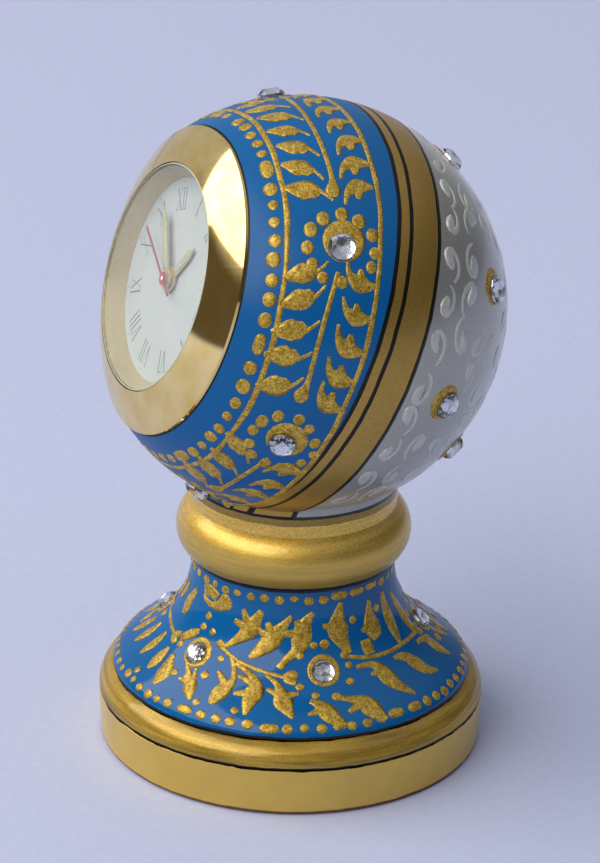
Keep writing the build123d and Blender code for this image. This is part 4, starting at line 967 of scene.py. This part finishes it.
def dial_print():
    """Radial Roman numerals with a dot outside each."""
    front = front_of("dial")
    height, breadth, reach, stem = 4.1, 2.95, 15.5, 0.15
    dot_reach, dot_radius = 18.8, 0.22
    strokes = []
    for hour, numeral in enumerate(hours):
        turn = 30 * hour
        place = dial_place(front, reach, turn)
        cursor = -sum(letter_widths[letter] for letter in numeral) / 2
        for letter in numeral:
            middle = cursor + letter_widths[letter] / 2
            cursor += letter_widths[letter]
            for (x0, y0, w0), (x1, y1, w1) in letters[letter]:
                ends = ((x0, y0, w0), ((x0 + x1) / 2, (y0 + y1) / 2, (w0 + w1) / 2), (x1, y1, w1))
                strokes.append([(place((middle + x) * breadth, y * height), stem * w * MM)
                                for x, y, w in ends])
        strokes += drawn(dial_place(front, dot_reach, turn), dot(dot_radius))
    piece = raised("dial_numerals", strokes, "dial", dial_ink, rise=0.2, greatest=0.03, step=0.2, sides=6)
    ridden(piece, "insert")


def glass_bead():
    """A pale bead in the groove between the glass and the bezel's rim: a painted highlight for the light the
    glass's edge catches, seen as a thin pale line.
    """
    front = front_of("glass")
    reach = max(((v.co - ball_centre).cross(dial_out)).length for v in nodes["glass"].data.vertices) / MM
    inset, half = 0.1, 0.2
    ring = [(dial_point(front, reach - inset, turn), half * MM) for turn in range(0, 360, 6)]
    piece = raised("glass_bead", [ring + ring[:1]], "glass", glint_paint, rise=0.5, greatest=0.08, step=0.5)
    ridden(piece, "insert")


def hand_filling(node, body, start, length, half):
    """Cream paint along the middle of a hand, from its hub towards its tip."""
    front = front_of(node)
    tip = max(((v.co - ball_centre) for v in nodes[node].data.vertices),
              key=lambda away: (away - away.dot(dial_out) * dial_out).length)
    bearing = (tip - tip.dot(dial_out) * dial_out).normalized()
    middle = ball_centre + dial_out * front
    shares = ((0.0, 0.35), (0.06, 0.9), (0.4, 1.0), (0.85, 0.75), (1.0, 0.2))
    stroke = [(middle + bearing * (start + share * length) * MM, half * width * MM)
              for share, width in shares]
    piece = raised(node + "_filling", [stroke], node, cream, rise=0.3, greatest=0.06, step=0.3)
    ridden(piece, body)


ball_relief()
rear_strokes()
foot_relief()
stones = set_stones("ball_stones", cut_stone(), ball_seats, ball_stone_radius, "ball", cut_crystal)
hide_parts("ball_crystals")
set_stones("ball_stone_foils", stone_foil(), ball_seats, ball_stone_radius, "ball", silver_foil)
stones = set_stones("foot_stones", cut_stone(), foot_seats, foot_stone_radius, "pedestal", cut_crystal)
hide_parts("foot_crystals")
set_stones("foot_stone_foils", stone_foil(), foot_seats, foot_stone_radius, "pedestal", silver_foil)
dial_print()
glass_bead()
hand_filling("hour_hand", "hours", start=2.8, length=6.6, half=0.72)
hand_filling("minute_hand", "minutes", start=2.4, length=11.0, half=0.7)

# Finishes of the CAD nodes
finishes = {
    ball_paint: ("ball",), pedestal_paint: ("pedestal",), bare_wood: ("dowel",),
    gold_mirror: ("bezel",), clock_glass: ("glass",), champagne: ("reflector_ring",), dial_white: ("dial",),
    gilt: ("hour_hand", "minute_hand"), red_paint: ("second_hand",),
    black_abs: ("insert_cup", "battery_hatch", "setting_knob", "driver_chip"), rubber: ("fit_ring",),
    white_styrene: ("front_plate", "train_bridge", "rear_plate", "coil_bobbin"),
    acetal: ("rotor_pinion", "intermediate_wheel", "seconds_wheel", "third_wheel", "centre_wheel",
             "motion_wheel", "hour_wheel"),
    steel: ("movement_screws", "stator", "coil_core", "quartz_crystal"), copper: ("coil_winding",),
    solder_resist: ("circuit_board",), spring_brass: ("positive_contact", "negative_contact"),
    cell_steel: ("button_cell",), ferrite: ("rotor_magnet",), cut_crystal: ("ball_crystals", "foot_crystals")}
for material, named in finishes.items():
    for name in named:
        for slot in nodes[name].material_slots:
            slot.material = material


# Studio

def studio_floor():
    """A wide pale sheet under the clock."""
    reach, corners = 4.0, 64
    shape = bmesh.new()
    angles = [2 * pi * i / corners for i in range(corners)]
    shape.faces.new([shape.verts.new((reach * cos(a), reach * sin(a), 0.0)) for a in angles])
    mesh = bpy.data.meshes.new("studio_floor")
    shape.to_mesh(mesh)
    shape.free()
    # Matt paper sheet: pale lavender with a faint tooth
    mesh.materials.append(grained("matt lavender paper", "#BDC4E1", "#C2C9E5", 2.0, 0.01, {"Roughness": 0.9}))
    floor = placed("studio_floor", mesh)


def lamp(name, azimuth, elevation, distance, width, height, power, colour):
    """A soft box that looks at the clock from a direction, out of the camera's sight."""
    light = bpy.data.lights.new(name, "AREA")
    light.shape = "RECTANGLE"
    light.size, light.size_y = width, height
    light.energy = power
    light.color = linear(colour)[:3]
    a, e = radians(azimuth), radians(elevation)
    away = Vector((cos(a) * cos(e), sin(a) * cos(e), sin(e)))
    box = placed(name, light)
    clock_middle = Vector((0, 0, 70 * MM))
    place = Matrix.Translation(clock_middle + away * distance)
    box.matrix_world = place @ away.to_track_quat("Z", "Y").to_matrix().to_4x4()
    box.visible_camera = False


def surround():
    """A room: pale on the side of the window, dim on the far side, brown low down under the window."""
    world = bpy.data.worlds.new("studio")
    world.use_nodes = True
    bpy.context.scene.world = world
    tree = world.node_tree
    tree.nodes.clear()
    way = add(tree, "ShaderNodeTexCoord").outputs["Generated"]
    height = add(tree, "ShaderNodeSeparateXYZ", {0: way}).outputs[2]

    def facing(azimuth, least, most):
        """0 to 1 for directions that turn towards an azimuth."""
        a = radians(azimuth)
        share = vectors(tree, "DOT_PRODUCT", way, (cos(a), sin(a), 0.0))
        return ranged(tree, share, 0.0, 1.0, least, most, interpolation_type="SMOOTHSTEP")

    overhead = ranged(tree, height, 1.0, 0.0, 0.35, 0.85, interpolation_type="SMOOTHSTEP")
    far_side = maths(tree, "MULTIPLY", facing(azimuth=40, least=-0.5, most=0.6), overhead)
    under_window = facing(azimuth=-100, least=0.55, most=0.8)
    low_down = ranged(tree, height, 0.0, 1.0, 0.42, 0.32, interpolation_type="SMOOTHSTEP")
    dim = maths(tree, "MULTIPLY", under_window, low_down)
    room = blend(tree, far_side, linear("#B9BCC6"), linear("#424246"))
    walls = blend(tree, dim, room, linear("#5C554A"))
    # The camera sees a backdrop in the tone of the lit sheet
    seen = add(tree, "ShaderNodeLightPath").outputs["Is Camera Ray"]
    shown = blend(tree, seen, walls, linear("#BCC2DD"))
    light = add(tree, "ShaderNodeBackground", {"Color": shown, "Strength": 1.0}).outputs[0]
    add(tree, "ShaderNodeOutputWorld", {"Surface": light})


def photo_camera():
    """The photograph's view: a long lens from the clock's right, a little above it."""
    azimuth, elevation, roll = radians(66.12), radians(21.72), radians(1.19)
    distance, focal_pixels, frame_height, sensor = 600 * MM, 3093.9, 863, 36.0
    right = Vector((cos(azimuth), sin(azimuth), 0.0))
    back = Vector((sin(azimuth) * cos(elevation), -cos(azimuth) * cos(elevation), sin(elevation)))
    middle_height, aim_height, aim_right = 70 * MM, 63.79 * MM, 0.87
    place = Vector((0.0, 0.0, middle_height)) + back * distance
    aim = Vector((0.0, 0.0, aim_height)) + right * aim_right * MM
    forward = (aim - place).normalized()
    level_right = forward.cross(Z_UP).normalized()
    level_up = level_right.cross(forward)
    c, s = cos(roll), sin(roll)
    turned_right = level_right * c + level_up * s
    turned_up = level_up * c - level_right * s
    data = bpy.data.cameras.new("photo_camera")
    data.sensor_width = sensor
    data.lens = focal_pixels / frame_height * sensor
    data.clip_start = 0.01
    camera = placed("photo_camera", data)
    axes = Matrix((turned_right, turned_up, -forward)).transposed()
    camera.matrix_world = Matrix.Translation(place) @ axes.to_4x4()
    bpy.context.scene.camera = camera


studio_floor()
lamp("window_box", azimuth=-93, elevation=46, distance=2.6, width=5.0, height=1.95, power=92.0,
     colour="#FFFBF2")
surround()
photo_camera()
bpy.context.scene.view_settings.view_transform = "Standard"
